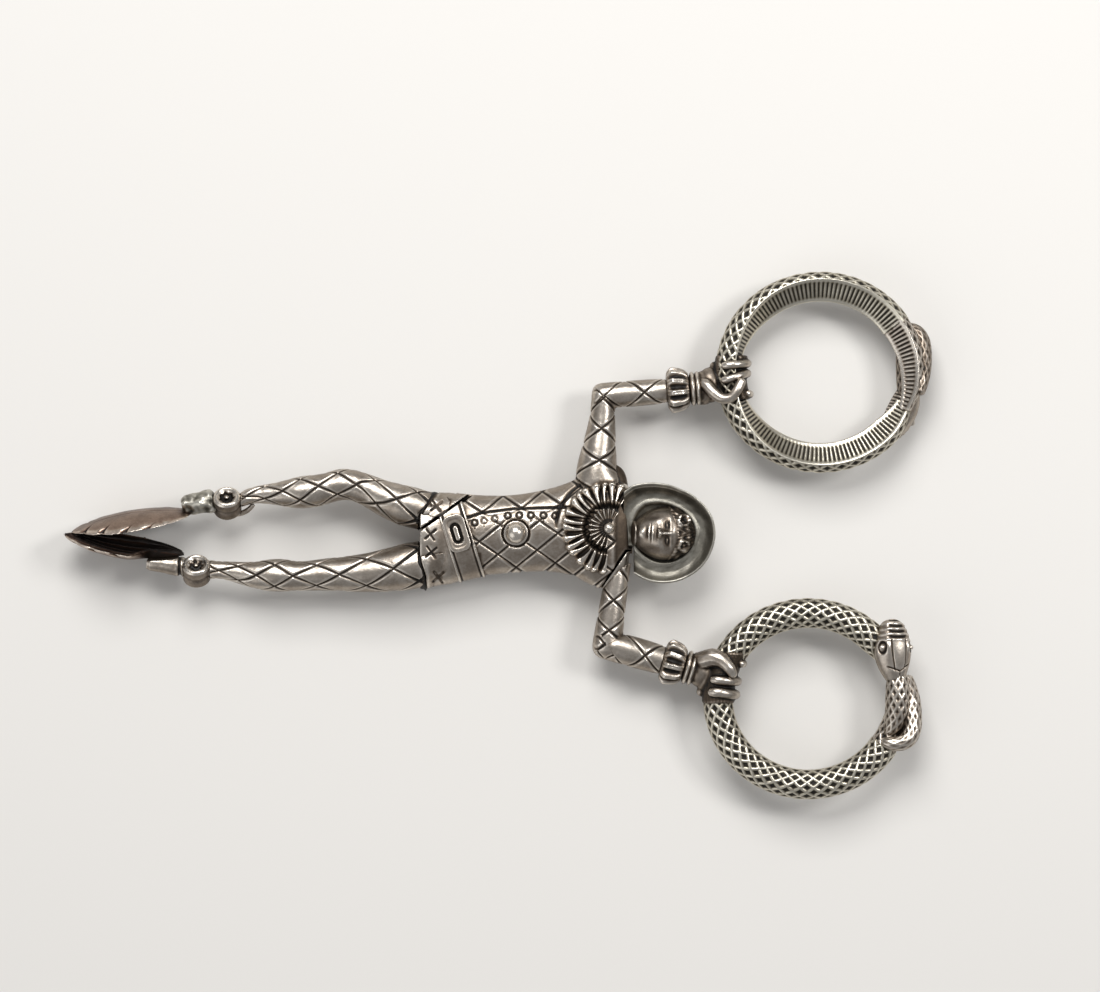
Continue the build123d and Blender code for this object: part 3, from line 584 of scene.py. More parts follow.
def torsoRelief(half):
    lattice = np.array([torso["latticeDown"], torso["latticeUp"]]) * pixelSize * (1, -1)
    toPhase = np.linalg.inv(lattice.T)
    slopes = np.linalg.norm(toPhase, axis=1)
    start = np.array(spot(*torso["latticeAt"]))
    face = 1 if half == "front" else -1

    def relief(points, normals):
        x, y, _ = points.T
        phases = toPhase @ (points[:, :2] - start).T
        near = (lineGap(phases) / slopes[:, None]).min(0)
        cut = mark(bump(near, lozenge["cutWidth"]), -lozenge["cutDepth"] * 0.85, 0.52)
        skin = cut + mark(bump(near, 0.6), -0.5 * lozenge["pillow"])
        skin += mark(bump(near - 0.34, 0.1), lozenge["burr"])
        # short crosses on the skirt between the hem and the belt
        beltLine = belt["middle"] - y * math.tan(math.radians(belt["lean"]))
        onSkirt = blendStep(0.2, -0.2, x - (beltLine - belt["width"] / 2))
        skin *= 1 - onSkirt
        if face > 0:
            crosses, halfSeamAndShadow = skirtCuts(x, y)
            skin += crosses * onSkirt + halfSeamAndShadow + jacketMarks(x, y, cut)
        # nothing is engraved where the collar and the neck cover the chest, and painted shade darkens the
        # chest there
        bareAndShaded = blendStep(torso["neckStart"], torso["neckStart"] + 0.8, x)
        skin = skin * (1 - bareAndShaded) + mark(bareAndShaded, 0, 0.38)
        gap = np.hypot(x, y)
        seat = blendStep(torso["rivetSeat"] + 0.06, torso["rivetSeat"], gap)
        seat *= blendStep(0.6, 0.9, normals[:, 2] * face)
        skin *= 1 - blendStep(torso["rivetRing"] + 0.17, torso["rivetRing"] - 0.03, gap)
        skin += mark(bump(gap - torso["rivetRing"], 0.09), 0.06) + mark(seat, 0.22, -0.25)
        skin += mark(bump(gap - torso["rivetRing"] + 0.14, 0.1), 0, 0.4)
        return skin * blendStep(0.15, 0.6, normals[:, 2] * face + 0.55 * np.abs(normals[:, 1]))

    return relief


def jacketMarks(x, y, cut):
    # the jacket's front edge lies over the other side
    edge = np.array([spot(*p) for p in torso["jacketEdge"]])
    off = y - np.interp(x, edge[:, 0], edge[:, 1])
    skin = mark(blendStep(0.12, -0.12, off), torso["jacketHeight"]) + mark(bump(off + 0.25, 0.12), 0.05)
    # past the edge a groove, with a painted shadow line along it
    skin += mark(bump(off - 0.22, 0.16), -0.16) + mark(bump(off - 0.2, 0.2), 0, 0.75)
    # no engraved lines on the narrow buttoned band
    skin -= cut * bump(off + 0.75, 0.7)
    skin *= blendStep(edge[0, 0], edge[0, 0] + 1.5, x)
    radius = torso["buttonRadius"]
    for i, (px, py) in enumerate(torso["buttons"]):
        cx, cy = spot(px, py)
        gap = np.hypot(x - cx, y - cy)
        button = mark(blendStep(radius * 0.75, 0.12, gap), 0.2) + mark(bump(gap - radius * 0.85, 0.09), -0.12)
        button += mark(bump(gap - radius * 0.85, 0.1), 0, 0.6)
        button += mark(bump(x - cx, 0.08) * bump(y - cy + 0.75, 0.17), -0.1, 0.5)
        # two of them are worn
        skin += button * (0.45 if i in (1, 2) else 1.0)
    # the seam where the sleeve is set in, round the ruff
    cx, cy = torso["ruffCentre"]
    gap = np.hypot(x - cx, y - cy) - torso["armholeRadius"] - 0.3
    way = np.degrees(np.arctan2(y - cy, x - cx))
    seam = mark(bump(gap, 0.25), -0.25) + mark(bump(gap, 0.3), 0, 0.7)
    return skin + seam * blendStep(80, 95, way) * blendStep(185, 165, way)


def tuckShoulder(half, piece):
    # the back's shoulder stays under the front half's sleeve
    points = readPoints(piece.data)
    x, y, _ = points.T
    if half == "back":
        points[:, 0] -= torso["shoulderTuck"] * np.maximum(x - torso["shoulder"], 0) * blendStep(3.6, 5.2, y)
        writePoints(piece.data, points)


chaseHalves("Torso", "torso", torso["voxel"], torsoRelief, after=tuckShoulder)
print("torso chased")

# belt, buckle and rivet
def beltRelief(points, normals):
    lean = math.radians(belt["lean"])
    off = (points[:, 0] - belt["middle"]) * math.cos(lean) + points[:, 1] * math.sin(lean)
    rim = belt["width"] / 2 - belt["edge"]
    groove = bump(np.abs(off) - rim + 0.1, 0.13)
    return mark(blendStep(rim, rim + 0.15, np.abs(off)), 0.07) + mark(groove, -0.1, 0.5)


def thinStrap(half, piece):
    # the strap thins toward the other half, so that no end face shows
    points = readPoints(piece.data)
    _, y, z = points.T
    if half == "back":
        thin = belt["taper"] * blendStep(2.6, 4.5, z) * blendStep(3.6, 4.8, np.abs(y))
        points[:, 1] -= np.sign(y) * thin
        writePoints(piece.data, points)


chaseHalves("Belt", "belt", belt["voxel"], lambda half: beltRelief, after=thinStrap, rounds=2)

buckle = {"voxel": 0.06, "at": (-0.6 * hipReach, 0.0)}


def buckleRelief(points, normals):
    lean = math.radians(belt["lean"])
    x, y = points[:, 0] - buckle["at"][0], points[:, 1] - buckle["at"][1]
    u, v = x * math.cos(lean) + y * math.sin(lean), -x * math.sin(lean) + y * math.cos(lean)
    gap = np.hypot(u / 0.6, np.maximum(np.abs(v) - 0.75, 0) / 0.6)
    top = blendStep(0.3, 0.8, normals[:, 2])
    edge = np.hypot(np.maximum(np.abs(u) - 0.35, 0), np.maximum(np.abs(v) - 1.4, 0)) - 0.72
    skin = mark(blendStep(0.75, 0.2, gap), 0.1) + mark(bump(gap - 1.0, 0.28), -0.14, 0.6)
    return (skin + mark(blendStep(-0.2, 0.1, edge), 0.05)) * top


piece = castCopy("beltBuckleSilver", "belt_buckle", buckle["voxel"], 4)
chase(piece, buckleRelief)
keepPiece(piece, "front_half", "belt_buckle")

rivet = {"seat": midHeight + 2.96, "ball": 1.4, "tailFlat": 1.15, "tailTop": 1.49, "shank": 0.99}
ballLift = rivet["seat"] + rivet["ball"] * 0.65
profile = [(0.0, ballLift + rivet["ball"])]
for a in range(6, 131, 6):
    turn = math.radians(a)
    profile.append((rivet["ball"] * math.sin(turn), ballLift + rivet["ball"] * math.cos(turn)))
profile += [(1.02, rivet["seat"] + 0.02), (rivet["shank"], rivet["seat"] - 0.3),
            (rivet["shank"], rivet["tailTop"] + 0.3), (rivet["shank"], rivet["tailTop"]),
            (1.7, rivet["tailTop"]), (1.79, rivet["tailTop"] - 0.1), (1.72, 0.95), (1.52, 0.5),
            (1.3, 0.16), (rivet["tailFlat"], 0.0), (0.6, 0.0), (0.0, 0.0)]
piece = turned("pivotRivetSilver", profile, (0, 0, 0), (0, 0, 1), 72)
keepPiece(piece, "front_half", "pivot_rivet")
print("belt, buckle and rivet made")

# ruffs
ruffs = {
    "centre": (12.9, 0.7),
    "start": 58.0, "sweep": 206.0,
    "outer": {"near": 2.2, "far": 6.4, "height": 1.1, "fold": 0.5,
              "pleats": 17, "lip": 0.28, "sway": 0.085},
    "inner": {"near": 0.85, "far": 2.75, "height": 2.0, "fold": 0.24,
              "pleats": 13, "lip": 0.2, "sway": 0.03},
}


def ruffPiece(name, form):
    cx, cy = ruffs["centre"]

    def place(u, v):
        # v runs from the underside's inner edge, out round the hem and back over the top
        over = blendStep(0.30, 0.42, v)
        share = np.where(v < 0.36, v / 0.36, 1 - (v - 0.36) / 0.64)
        angle = ruffs["start"] + ruffs["sweep"] * u
        phase = u * form["pleats"] * 2 * math.pi
        # broad folds with narrow valleys that lean over one another, as goffered linen does
        grow = np.clip(share, 0, 1)
        lean = phase + 0.7 * np.sin(phase + 0.6) * grow
        wave = np.tanh(1.5 * np.cos(lean)) / 0.905
        reach = form["near"] + (form["far"] - form["near"]) * share
        reach = reach + 0.26 * (form["far"] / 6.4) ** 0.5 * np.cos(lean) * grow**4
        uneven = np.sin(phase / form["pleats"] * 5.3 + 1.0)
        sway = np.sin(phase) * grow**3 + 0.8 * np.sin(2.6 * share + uneven)
        way = np.radians(angle) + form["sway"] * sway
        x = cx + reach * np.cos(way)
        y = cy + reach * np.sin(way)
        base = chestLift(x, y)
        top = base + form["height"] * (0.9 + 0.1 * grow) + form["fold"] * (wave - 0.7) * grow**0.8
        lip = form["lip"] * bump(share - 0.95, 0.06) * (0.55 + 0.45 * np.cos(lean))
        top = top - 0.75 * blendStep(0.4, 0.14, share) * (form["far"] > 4)
        z = over * (top + lip) + (1 - over) * (base * 0.55)
        points = np.stack([x, y, midHeight + z], 1)
        dirtAndShade = 0.36 * np.clip(-wave, 0, 1) * grow**0.6 * (1 - 0.6 * bump(share - 1, 0.07))
        # the part nearest the middle is painted dark, as shade under the ruff and the button over it
        dirtAndShade += 0.62 * blendStep(0.34, 0.18, share)
        dirtAndShade -= 0.16 * bump(share - 0.97, 0.06)
        return points, dirtAndShade

    return gridPiece(name, form["pleats"] * 24, 72, place)


for kind in ("outer", "inner"):
    keepPiece(ruffPiece(kind + "RuffSilver", ruffs[kind]), "front_half", kind + "_ruff")

button = {"radius": 0.8, "lift": 1.75}
buttonLift = midHeight + float(chestLift(*ruffs["centre"])) + button["lift"]
turns = [math.radians(a) for a in range(0, 91, 9)]
profile = [(button["radius"] * math.sin(a), button["radius"] * math.cos(a)) for a in turns]
profile += [(0.78, -0.15), (0.5, -0.3), (0.5, -1.2), (0.0, -1.2)]
piece = turned("ruffButtonSilver", profile, ruffs["centre"] + (buttonLift,), (0, 0, 1), 40)
keepPiece(piece, "front_half", "ruff_button")
print("ruffs pleated")

# head
head = {
    "centre": (20.45, 0.0, 5.95),
    "half": (4.55, 3.8, 3.3),
    "armEdge": 16.45,      # the other half's arm lies closed before this place
    "under": 0.2,          # its flat back stands this far over the middle plane
    "neckLine": ((15.9, 0.0, 6.2), (17.0, 0.0, 6.0), (18.4, 0.0, 6.1)),
    "neckRadii": (1.9, 1.75, 1.9), "neckSide": -1.78,
    "curl": (0.62, 0.42, 0.75),    # along, across and radius of the curl at each temple
}
# (along the face, across, reach along, reach across, height), in half lengths and mm;
# along is +1 at the crown and -1 at the chin, and what is off the middle is there twice
faceForms = (
    (0.30, 0.00, 0.14, 0.62, 0.16),     # brow
    (0.14, 0.30, 0.13, 0.20, -0.34),    # eye sockets
    (0.135, 0.30, 0.055, 0.10, 0.26),   # eyeballs
    (0.24, 0.31, 0.035, 0.21, 0.12),    # eyebrows
    (0.10, 0.00, 0.16, 0.075, 0.42),    # bridge of the nose
    (-0.09, 0.00, 0.085, 0.115, 0.62),  # tip of the nose
    (-0.115, 0.12, 0.05, 0.06, 0.22),   # nostrils
    (-0.175, 0.00, 0.03, 0.17, -0.16),  # under the nose
    (-0.08, 0.46, 0.22, 0.22, 0.14),    # cheeks
    (-0.315, 0.00, 0.035, 0.20, 0.17),  # upper lip
    (-0.365, 0.00, 0.016, 0.24, -0.24), # between the lips
    (-0.42, 0.00, 0.04, 0.17, 0.20),    # lower lip
    (-0.50, 0.00, 0.045, 0.2, -0.15),   # under the lip
    (-0.66, 0.00, 0.12, 0.2, 0.28),     # chin
    (-0.3, 0.62, 0.3, 0.14, -0.12),     # jaw
)


def clearOfArm(points, side=-1.8):
    # nothing of the head or hat stands where the closed arm lies
    grown = points.copy()
    grown[:, 0] = np.where(points[:, 1] < side, np.maximum(points[:, 0], head["armEdge"]), points[:, 0])
    return grown


def makeHead():
    bm = bmesh.new()
    bmesh.ops.create_icosphere(bm, subdivisions=7, radius=mm)
    piece = addObject("headSilver", bm)
    unit = readPoints(piece.data)
    cx, cy, cz = head["centre"]
    hx, hy, hz = head["half"]
    along, across, front = unit.T
    taper = 1 - 0.16 * blendStep(0.1, -1.0, along)
    deep = front * (1 - 0.1 * along**2)
    points = np.stack([cx + hx * along, cy + hy * across * taper, cz + hz * deep], 1)
    skin = np.zeros((2, len(along)))
    facing = blendStep(0.1, 0.5, front)
    for at, off, reachAlong, reachAcross, height in faceForms:
        for place in (off, -off) if off else (0,):
            form = np.exp(-((along - at) / reachAlong) ** 2 - ((across - place) / reachAcross) ** 2)
            skin += mark(form * facing, height, 1.3 * max(-height, 0))
    for side in (1, -1):
        # lids, as two fine creases over and under each eye
        for at, bend in ((0.185, -1.2), (0.085, 1.0)):
            crease = along - at - bend * (across - side * 0.30) ** 2
            lid = np.exp(-(crease / 0.014) ** 2) * np.exp(-((across - side * 0.30) / 0.14) ** 4) * facing
            skin += mark(lid, -0.1, 0.55)
    # hair: short locks combed from the forehead, curling to both temples
    rim = along - 0.42 + 0.30 * across**2
    hair = blendStep(0.0, 0.06, rim) * blendStep(-0.1, 0.2, front)
    locks = np.sin(9.0 * across + 5.0 * rim * np.sign(across) + 1.6) * np.cos(26 * rim + 3 * across)
    strands = np.sin(52 * across + 24 * rim * np.sign(across + 0.05))
    skin += mark(hair, 0.14, 0.36) + mark(hair * locks, 0.1, -0.24) + mark(hair * strands, 0.04, 0.1)
    curlAlong, curlAcross, curlRadius = head["curl"]
    for side in (1, -1):
        gap = np.hypot((along - curlAlong) * hx, (across - side * curlAcross) * hy)
        turn = np.arctan2(along - curlAlong, (across - side * curlAcross) * side)
        ring = gap - curlRadius * (0.88 + 0.12 * np.cos(turn))
        lock = bump(ring, 0.22) * blendStep(-0.1, 0.2, front)
        pit = blendStep(curlRadius * 0.75, curlRadius * 0.45, gap) * (1 - bump(gap, 0.2))
        pit *= blendStep(-0.1, 0.2, front)
        skin += mark(lock, 0.32, -0.36) + mark(pit, -0.08, 0.12)
    points += unit * skin[0][:, None]
    points[:, 2] = np.maximum(points[:, 2], midHeight + head["under"])
    writePoints(piece.data, clearOfArm(points))
    writeAttribute(piece.data, "dirtAndShade", np.clip(skin[1], 0, 1))
    neck = tubePiece("neckSilver", head["neckLine"], head["neckRadii"], 24, 40)
    points = readPoints(neck.data)
    points[:, 2] = np.maximum(points[:, 2], midHeight + head["under"])
    points[:, 1] = np.maximum(points[:, 1], head["neckSide"])
    writePoints(neck.data, points)
    return joinPieces("headSilver", [piece, neck])


keepPiece(makeHead(), "front_half", "head")
print("head modelled")

# hat
hat = {
    "centre": (20.8, 0.0),
    "neckEdge": 15.05,       # the brim is cut off here, against the collar
    "base": 1.095, "lean": 8.0,
    # how far the brim reaches at each angle from +X, in mm
    "outline": ((-180, 7.6), (-126, 7.15), (-108, 7.1), (-86, 7.0), (-63, 6.95), (-40, 7.0), (-18, 7.0),
                (0, 7.05), (20, 6.95), (43, 6.6), (71, 6.5), (94, 6.95), (111, 7.5), (125, 8.1),
                (140, 8.2), (180, 7.6)),
}
brimProfile = (  # share of the brim's reach, height over the base
    (0.0, 0.35), (0.30, 0.35), (0.52, 0.3), (0.565, 0.38), (0.59, 0.56), (0.62, 0.66), (0.65, 0.62),
    (0.69, 0.52), (0.73, 0.50), (0.79, 0.56), (0.85, 0.86), (0.9, 1.28), (0.94, 1.72), (0.965, 1.92),
    (0.99, 1.9), (1.0, 1.72),
    (0.985, 1.4), (0.93, 0.8), (0.85, 0.3), (0.74, 0.0), (0.62, -0.06), (0.5, -0.15), (0.46, -0.35),
    (0.43, -0.62), (0.36, -0.85), (0.2, -1.0), (0.0, -1.04))


def makeHat():
    line = smoothLine(brimProfile, 150)
    line[:, 0] = np.maximum(line[:, 0], 0)
    reachAngle, reach = np.array(hat["outline"]).T
    cx, cy = hat["centre"]
    tilt = math.radians(hat["lean"])

    def place(u, v):
        t = u * (len(line) - 1)
        share, height = rowsAt(u, line).T
        angle = v * 360 - 180
        # the rim rolls over on one side and is thin and beaten on the other
        roll = bump(angle - 100, 45)
        thin = bump(angle + 80, 50)
        rimZone = blendStep(0.82, 0.97, share) * (t < 110)
        height = height + 0.18 * roll * rimZone - 0.15 * thin * rimZone
        share = share - 0.03 * roll * rimZone * (t < 70)
        radius = share * np.interp(angle, reachAngle, reach)
        x = cx + radius * np.cos(np.radians(angle))
        y = cy + radius * np.sin(np.radians(angle))
        beaten = 0.03 * np.sin(angle * 0.21 + share * 9) * np.sin(share * 21 + angle * 0.047)
        beaten *= share > 0.68
        lift = hat["base"] + (y - cy) * math.sin(tilt) * np.clip(share, 0, 1) + height + beaten
        points = np.stack([x, y, midHeight + np.maximum(lift, 0.06)], 1)
        dirtAndShade = 0.3 * bump(share - 0.53, 0.06) + 0.1 * bump(share - 0.76, 0.09)
        dirtAndShade -= 0.12 * bump(share - 0.97, 0.04)
        return points, dirtAndShade * (t < 75)

    piece = gridPiece("hatSilver", 220, 220, place)
    bm = bmesh.new()
    bm.from_mesh(piece.data)
    cut = bmesh.ops.bisect_plane(bm, geom=bm.verts[:] + bm.edges[:] + bm.faces[:],
                                 plane_co=(hat["neckEdge"] * mm, 0, 0), plane_no=(-1, 0, 0), clear_outer=True)
    rim = [e for e in cut["geom_cut"] if isinstance(e, bmesh.types.BMEdge)]
    bmesh.ops.holes_fill(bm, edges=rim, sides=0)
    bm.to_mesh(piece.data)
    bm.free()
    reshape(piece, clearOfArm)
    return piece


keepPiece(makeHat(), "front_half", "hat")
print("hat turned")

# cuffs and wrist bands
wrists = {"front": ((21.1, 19.9), (0.9969, 0.0788)), "back": ((20.5, -17.8), (0.9625, -0.2715))}
cuff = {"length": 3.2, "flutes": 11, "pit": 0.4, "frill": 0.2,
        "profile": ((0.0, 1.75), (0.03, 2.35), (0.12, 2.75), (0.3, 3.02), (0.55, 2.98), (0.8, 2.6),
                    (0.95, 2.2), (1.0, 1.6))}
band = {"length": 1.6, "close": 0.03,      # the share of it over which each end closes
        "profile": ((0.0, 1.75), (0.04, 1.95), (0.1, 2.2), (0.28, 2.42), (0.45, 2.2), (0.5, 2.0),
                    (0.55, 2.2), (0.72, 2.42), (0.9, 2.2), (0.96, 1.95), (1.0, 1.75))}


def wristPiece(name, half, start, length, profile, pits):
    (wx, wy), (ax, ay) = wrists[half]
    line = smoothLine(profile, 120)

    def place(u, v):
        run, radius = rowsAt(u, line).T
        angle = v * 2 * math.pi
        pit = 0 * run
        if pits:
            phase = lineGap(angle / (2 * math.pi) * pits + 0.5)
            pit = np.exp(-(phase / 0.27) ** 4) * np.exp(-((run - 0.5) / 0.36) ** 4)
            radius = radius - cuff["pit"] * pit + (1 - pit) * bump(phase - 0.34, 0.1) * 0.12
            # the frilled mouth and the gathered back edge
            frill = np.cos(angle * pits + 0.5 * np.sin(2 * angle))
            radius += cuff["frill"] * frill * (bump(run - 0.24, 0.14) + 0.6 * bump(run - 0.74, 0.12))
        radius = radius * np.clip(np.minimum(u, 1 - u) / band["close"], 0, 1)
        out, lift = radius * np.cos(angle), radius * np.sin(angle)
        along = start + length * run
        points = np.stack([wx + ax * along - ay * out, wy + ay * along + ax * out, midHeight + lift], 1)
        return points, 0.5 * pit

    return gridPiece(name, 64, 168 if pits else 96, place)


for half in halves:
    piece = wristPiece(half + "CuffSilver", half, 0.0, cuff["length"], cuff["profile"], cuff["flutes"])
    keepPiece(piece, half + "_half", half + "_cuff")
    piece = wristPiece(half + "WristBandSilver", half, cuff["length"], band["length"], band["profile"], 0)
    keepPiece(piece, half + "_half", half + "_wrist_band")
print("cuffs and bands turned")

# snakes
snake = {
    "bore": 10.0, "radius": 2.0, "wide": 0.6,
    "start": 20.0, "sweep": 308.0,
    "neck": (18.0, 46.0, 0.55),   # it thins under its own head, from, to and how far
    "belly": 0.525,               # the flat belly's distance, as a share of the radius
    "bellyAngle": {"front": 242.0, "back": 239.0},
    "bellyTurn": {"front": 50.0, "back": 8.0},     # the belly faces more inward at the hand
    "cell": (1.78, 1.42),        # a scale's length and width
    "netHeight": 0.1, "pitDepth": 0.13,
    "rib": 0.6, "ribDepth": 0.16,
}
loops = {"front": (42.6, 22.5, -1), "back": (40.9, -23.2, 1)}


def loopPoints(half, own):
    # from the loop's own frame, where the front one is turned over
    cx, cy, way = loops[half]
    return np.stack([cx + own[:, 0], cy + way * own[:, 1], midHeight + way * own[:, 2]], 1)


def snakeSkin(run, own, radius):
    # belly ribs on a flat facet, a ridge along each side and a raised net of scales;
    # own is the angle round the section from the middle of the belly
    scale = radius / snake["radius"]
    border = math.acos(snake["belly"])
    own = (own + math.pi) % (2 * math.pi) - math.pi
    facet = np.where(np.abs(own) < border, snake["belly"] / np.maximum(np.cos(own), 0.1), 1.0)
    fromBorder = (np.abs(own) - border) * radius
    length, width = snake["cell"]
    slope = math.hypot(1 / length, 1 / width)
    around = snake["radius"] * (np.abs(own) - math.pi) / width
    near = np.minimum(lineGap(run / length + around), lineGap(run / length - around)) / slope * scale
    pit = blendStep(0.17, 0.34, near)
    onNet = blendStep(0.14, 0.3, fromBorder)
    height = onNet * (snake["netHeight"] * bump(near, 0.15) - snake["pitDepth"] * pit)
    dirtAndShade = onNet * (0.27 * pit + 0.1 - 0.16 * bump(near, 0.12))
    ribCut = bump(lineGap(run / snake["rib"]) * snake["rib"], 0.115)
    onRibs = blendStep(-0.2, -0.4, fromBorder)
    edge = bump(fromBorder + 0.02, 0.2)
    height += 0.09 * edge - snake["ribDepth"] * ribCut * onRibs
    dirtAndShade += (0.5 * ribCut + 0.04) * onRibs - 0.22 * edge
    return radius * (facet - 1) + height, dirtAndShade


def bellyTurn(half, angle):
    # the belly's direction round the loop, in degrees
    return snake["bellyAngle"][half] - snake["bellyTurn"][half] * bump((angle % 360) - 180, 48)


def snakeLoop(half):
    ring = snake["bore"] + snake["radius"]
    rx, ry = ring + snake["wide"], ring

    def place(u, v):
        turn = snake["start"] + snake["sweep"] * u
        angle = np.radians(turn)
        centre = np.stack([rx * np.cos(angle), ry * np.sin(angle), 0 * angle], 1)
        out = np.stack([ry * np.cos(angle), rx * np.sin(angle), 0 * angle], 1)
        out /= np.linalg.norm(out, axis=1)[:, None]
        run = math.radians(snake["sweep"]) * (rx + ry) / 2 * u
        own = np.radians(v * 360 - 180)
        thinFrom, thinTo, least = snake["neck"]
        size = snake["radius"] * (least + (1 - least) * blendStep(thinFrom, thinTo, turn))
        height, dirtAndShade = snakeSkin(run, own, size)
        # both ends close onto the centreline
        closing = np.clip(np.minimum(u, 1 - u) * 640, 0, 1)
        radius = (size + height) * closing
        theta = own + np.radians(bellyTurn(half, turn))
        points = centre + out * (radius * np.cos(theta))[:, None]
        points[:, 2] += radius * np.sin(theta)
        return loopPoints(half, points), dirtAndShade

    return gridPiece(half + "SnakeLoopSilver", 640, 128, place)


def polar(angle, out, lift):
    ring = snake["bore"] + snake["radius"] + out
    a = math.radians(angle)
    return ((ring + snake["wide"]) * math.cos(a), ring * math.sin(a), lift)


snakeHead = {
    "halfWidth": 2.6, "roll": 20.0, "length": 8.35,
    # place in the loop's own frame, half width share and flatness, from nape to snout
    "back": ((11.5, 10.75, 0.4, 0.42, 0.98), (11.57, 9.9, 0.85, 0.72, 0.9), (11.65, 8.4, 1.2, 0.92, 0.76),
             (11.7, 6.6, 1.4, 1.0, 0.68), (11.85, 4.9, 1.45, 0.88, 0.68), (12.05, 3.5, 1.4, 0.66, 0.74),
             (12.2, 2.7, 1.3, 0.5, 0.8), (12.25, 2.35, 1.2, 0.4, 0.85)),
    "front": ((9.0, 8.9, 0.4, 0.5, 0.98), (9.65, 8.2, 0.75, 0.66, 0.9), (10.7, 6.9, 1.15, 0.78, 0.8),
              (11.6, 5.3, 1.4, 0.82, 0.76), (12.2, 3.7, 1.45, 0.74, 0.74), (12.5, 2.4, 1.4, 0.58, 0.78),
              (12.6, 1.6, 1.3, 0.42, 0.8), (12.62, 1.25, 1.2, 0.34, 0.85)),
}


def snakeHeadPiece(half):
    form = snakeHead
    points = [row[:3] for row in form[half]]
    radii = [form["halfWidth"] * row[3] for row in form[half]]
    flats = [row[4] for row in form[half]]

    def relief(run, angle, radius):
        s = run / form["length"]
        turnedAngle = angle + math.radians(form["roll"])
        above, side = np.sin(turnedAngle), np.cos(turnedAngle)
        top = blendStep(0.0, 0.45, above)
        skin = np.zeros((2, len(s)))
        # folds of skin across the nape
        for at in (0.06, 0.135, 0.215, 0.295):
            fold = bump(s - at + 0.05 * side**2, 0.016) * blendStep(0.62, 0.42, np.abs(side)) * top
            skin += mark(fold, -0.2, 0.7) + mark(bump(s - at - 0.036, 0.018) * top, 0.1)
        # the long plate between the eyes, then the snout's plates
        plate = np.abs(side) - 0.42 + 0.16 * (s - 0.3)
        line = bump(plate, 0.035) * blendStep(0.3, 0.34, s) * blendStep(0.84, 0.8, s) * top
        chevron = bump(s - 0.84 + 0.13 * np.abs(side), 0.015) * blendStep(0.8, 0.6, np.abs(side)) * top
        middle = bump(side, 0.04) * blendStep(0.85, 0.88, s) * top
        onPlate = blendStep(0.02, -0.08, plate) * blendStep(0.31, 0.36, s) * blendStep(0.84, 0.78, s)
        skin += mark(onPlate * top, 0.09) + mark(line + chevron + middle, -0.13, 0.55)
        # the eye in its ring under a brow, and the line of the mouth
        for way in (1, -1):
            theta = turnedAngle - math.pi / 2 - way * 1.0
            gap = np.hypot((s - 0.45) * form["length"], theta * radius)
            skin += mark(blendStep(0.5, 0.12, gap), 0.34) + mark(bump(gap - 0.68, 0.15), -0.24)
            brow = np.hypot((s - 0.43) * form["length"] * 0.5, (theta + way * 0.36) * radius)
            skin += mark(bump(gap - 0.66, 0.16), 0, 0.65) + mark(bump(brow, 0.42), 0.24)
        mouth = bump((np.abs(turnedAngle - math.pi / 2) - 1.75) * radius, 0.12) * blendStep(0.45, 0.6, s)
        # the throat carries the belly's ribs on
        own = (angle - math.radians(snake["bellyAngle"]["back"]) + math.pi) % (2 * math.pi) - math.pi
        throat = blendStep(1.05, 0.9, np.abs(own))
        ribCut = bump(lineGap(run / snake["rib"]) * snake["rib"], 0.115) * throat
        return skin + mark(mouth, -0.16, 0.6) + mark(ribCut, -0.15, 0.55)

    piece = tubePiece(half + "SnakeHeadSilver", points, radii, 150, 150, relief, flats)
    reshape(piece, lambda points: loopPoints(half, points))
    mergeDoubles(piece)
    return piece


# angle round the loop, mm out, mm up and radius of the tail's band; then the turn it
# takes over the band and its last coil, in the loop's own frame
bandLine = ((-36, 0.0, 0.0, 1.9), (-24, 0.05, -0.16, 1.86), (-8, 0.18, -0.5, 1.66), (10, 0.3, -0.8, 1.3),
            (26, 0.4, -1.0, 0.7))
turnLine = ((12.4, 3.6, 0.9, 1.3), (12.45, 1.8, 1.1, 1.6), (12.4, -0.5, 1.15, 1.65), (12.2, -2.6, 1.1, 1.5),
            (11.5, -4.3, 1.0, 1.1), (10.7, -5.2, 0.8, 0.6))
coilLine = ((13.6, 3.2, -1.0, 0.9), (14.0, 1.6, -0.6, 1.15), (14.35, -0.2, 0.0, 1.28), (14.5, -2.2, 0.6, 1.3),
            (14.4, -4.2, 1.2, 1.25), (13.7, -5.6, 1.75, 1.15), (12.4, -6.15, 2.05, 1.0),
            (11.1, -6.1, 2.0, 0.82), (10.2, -5.8, 1.6, 0.5))


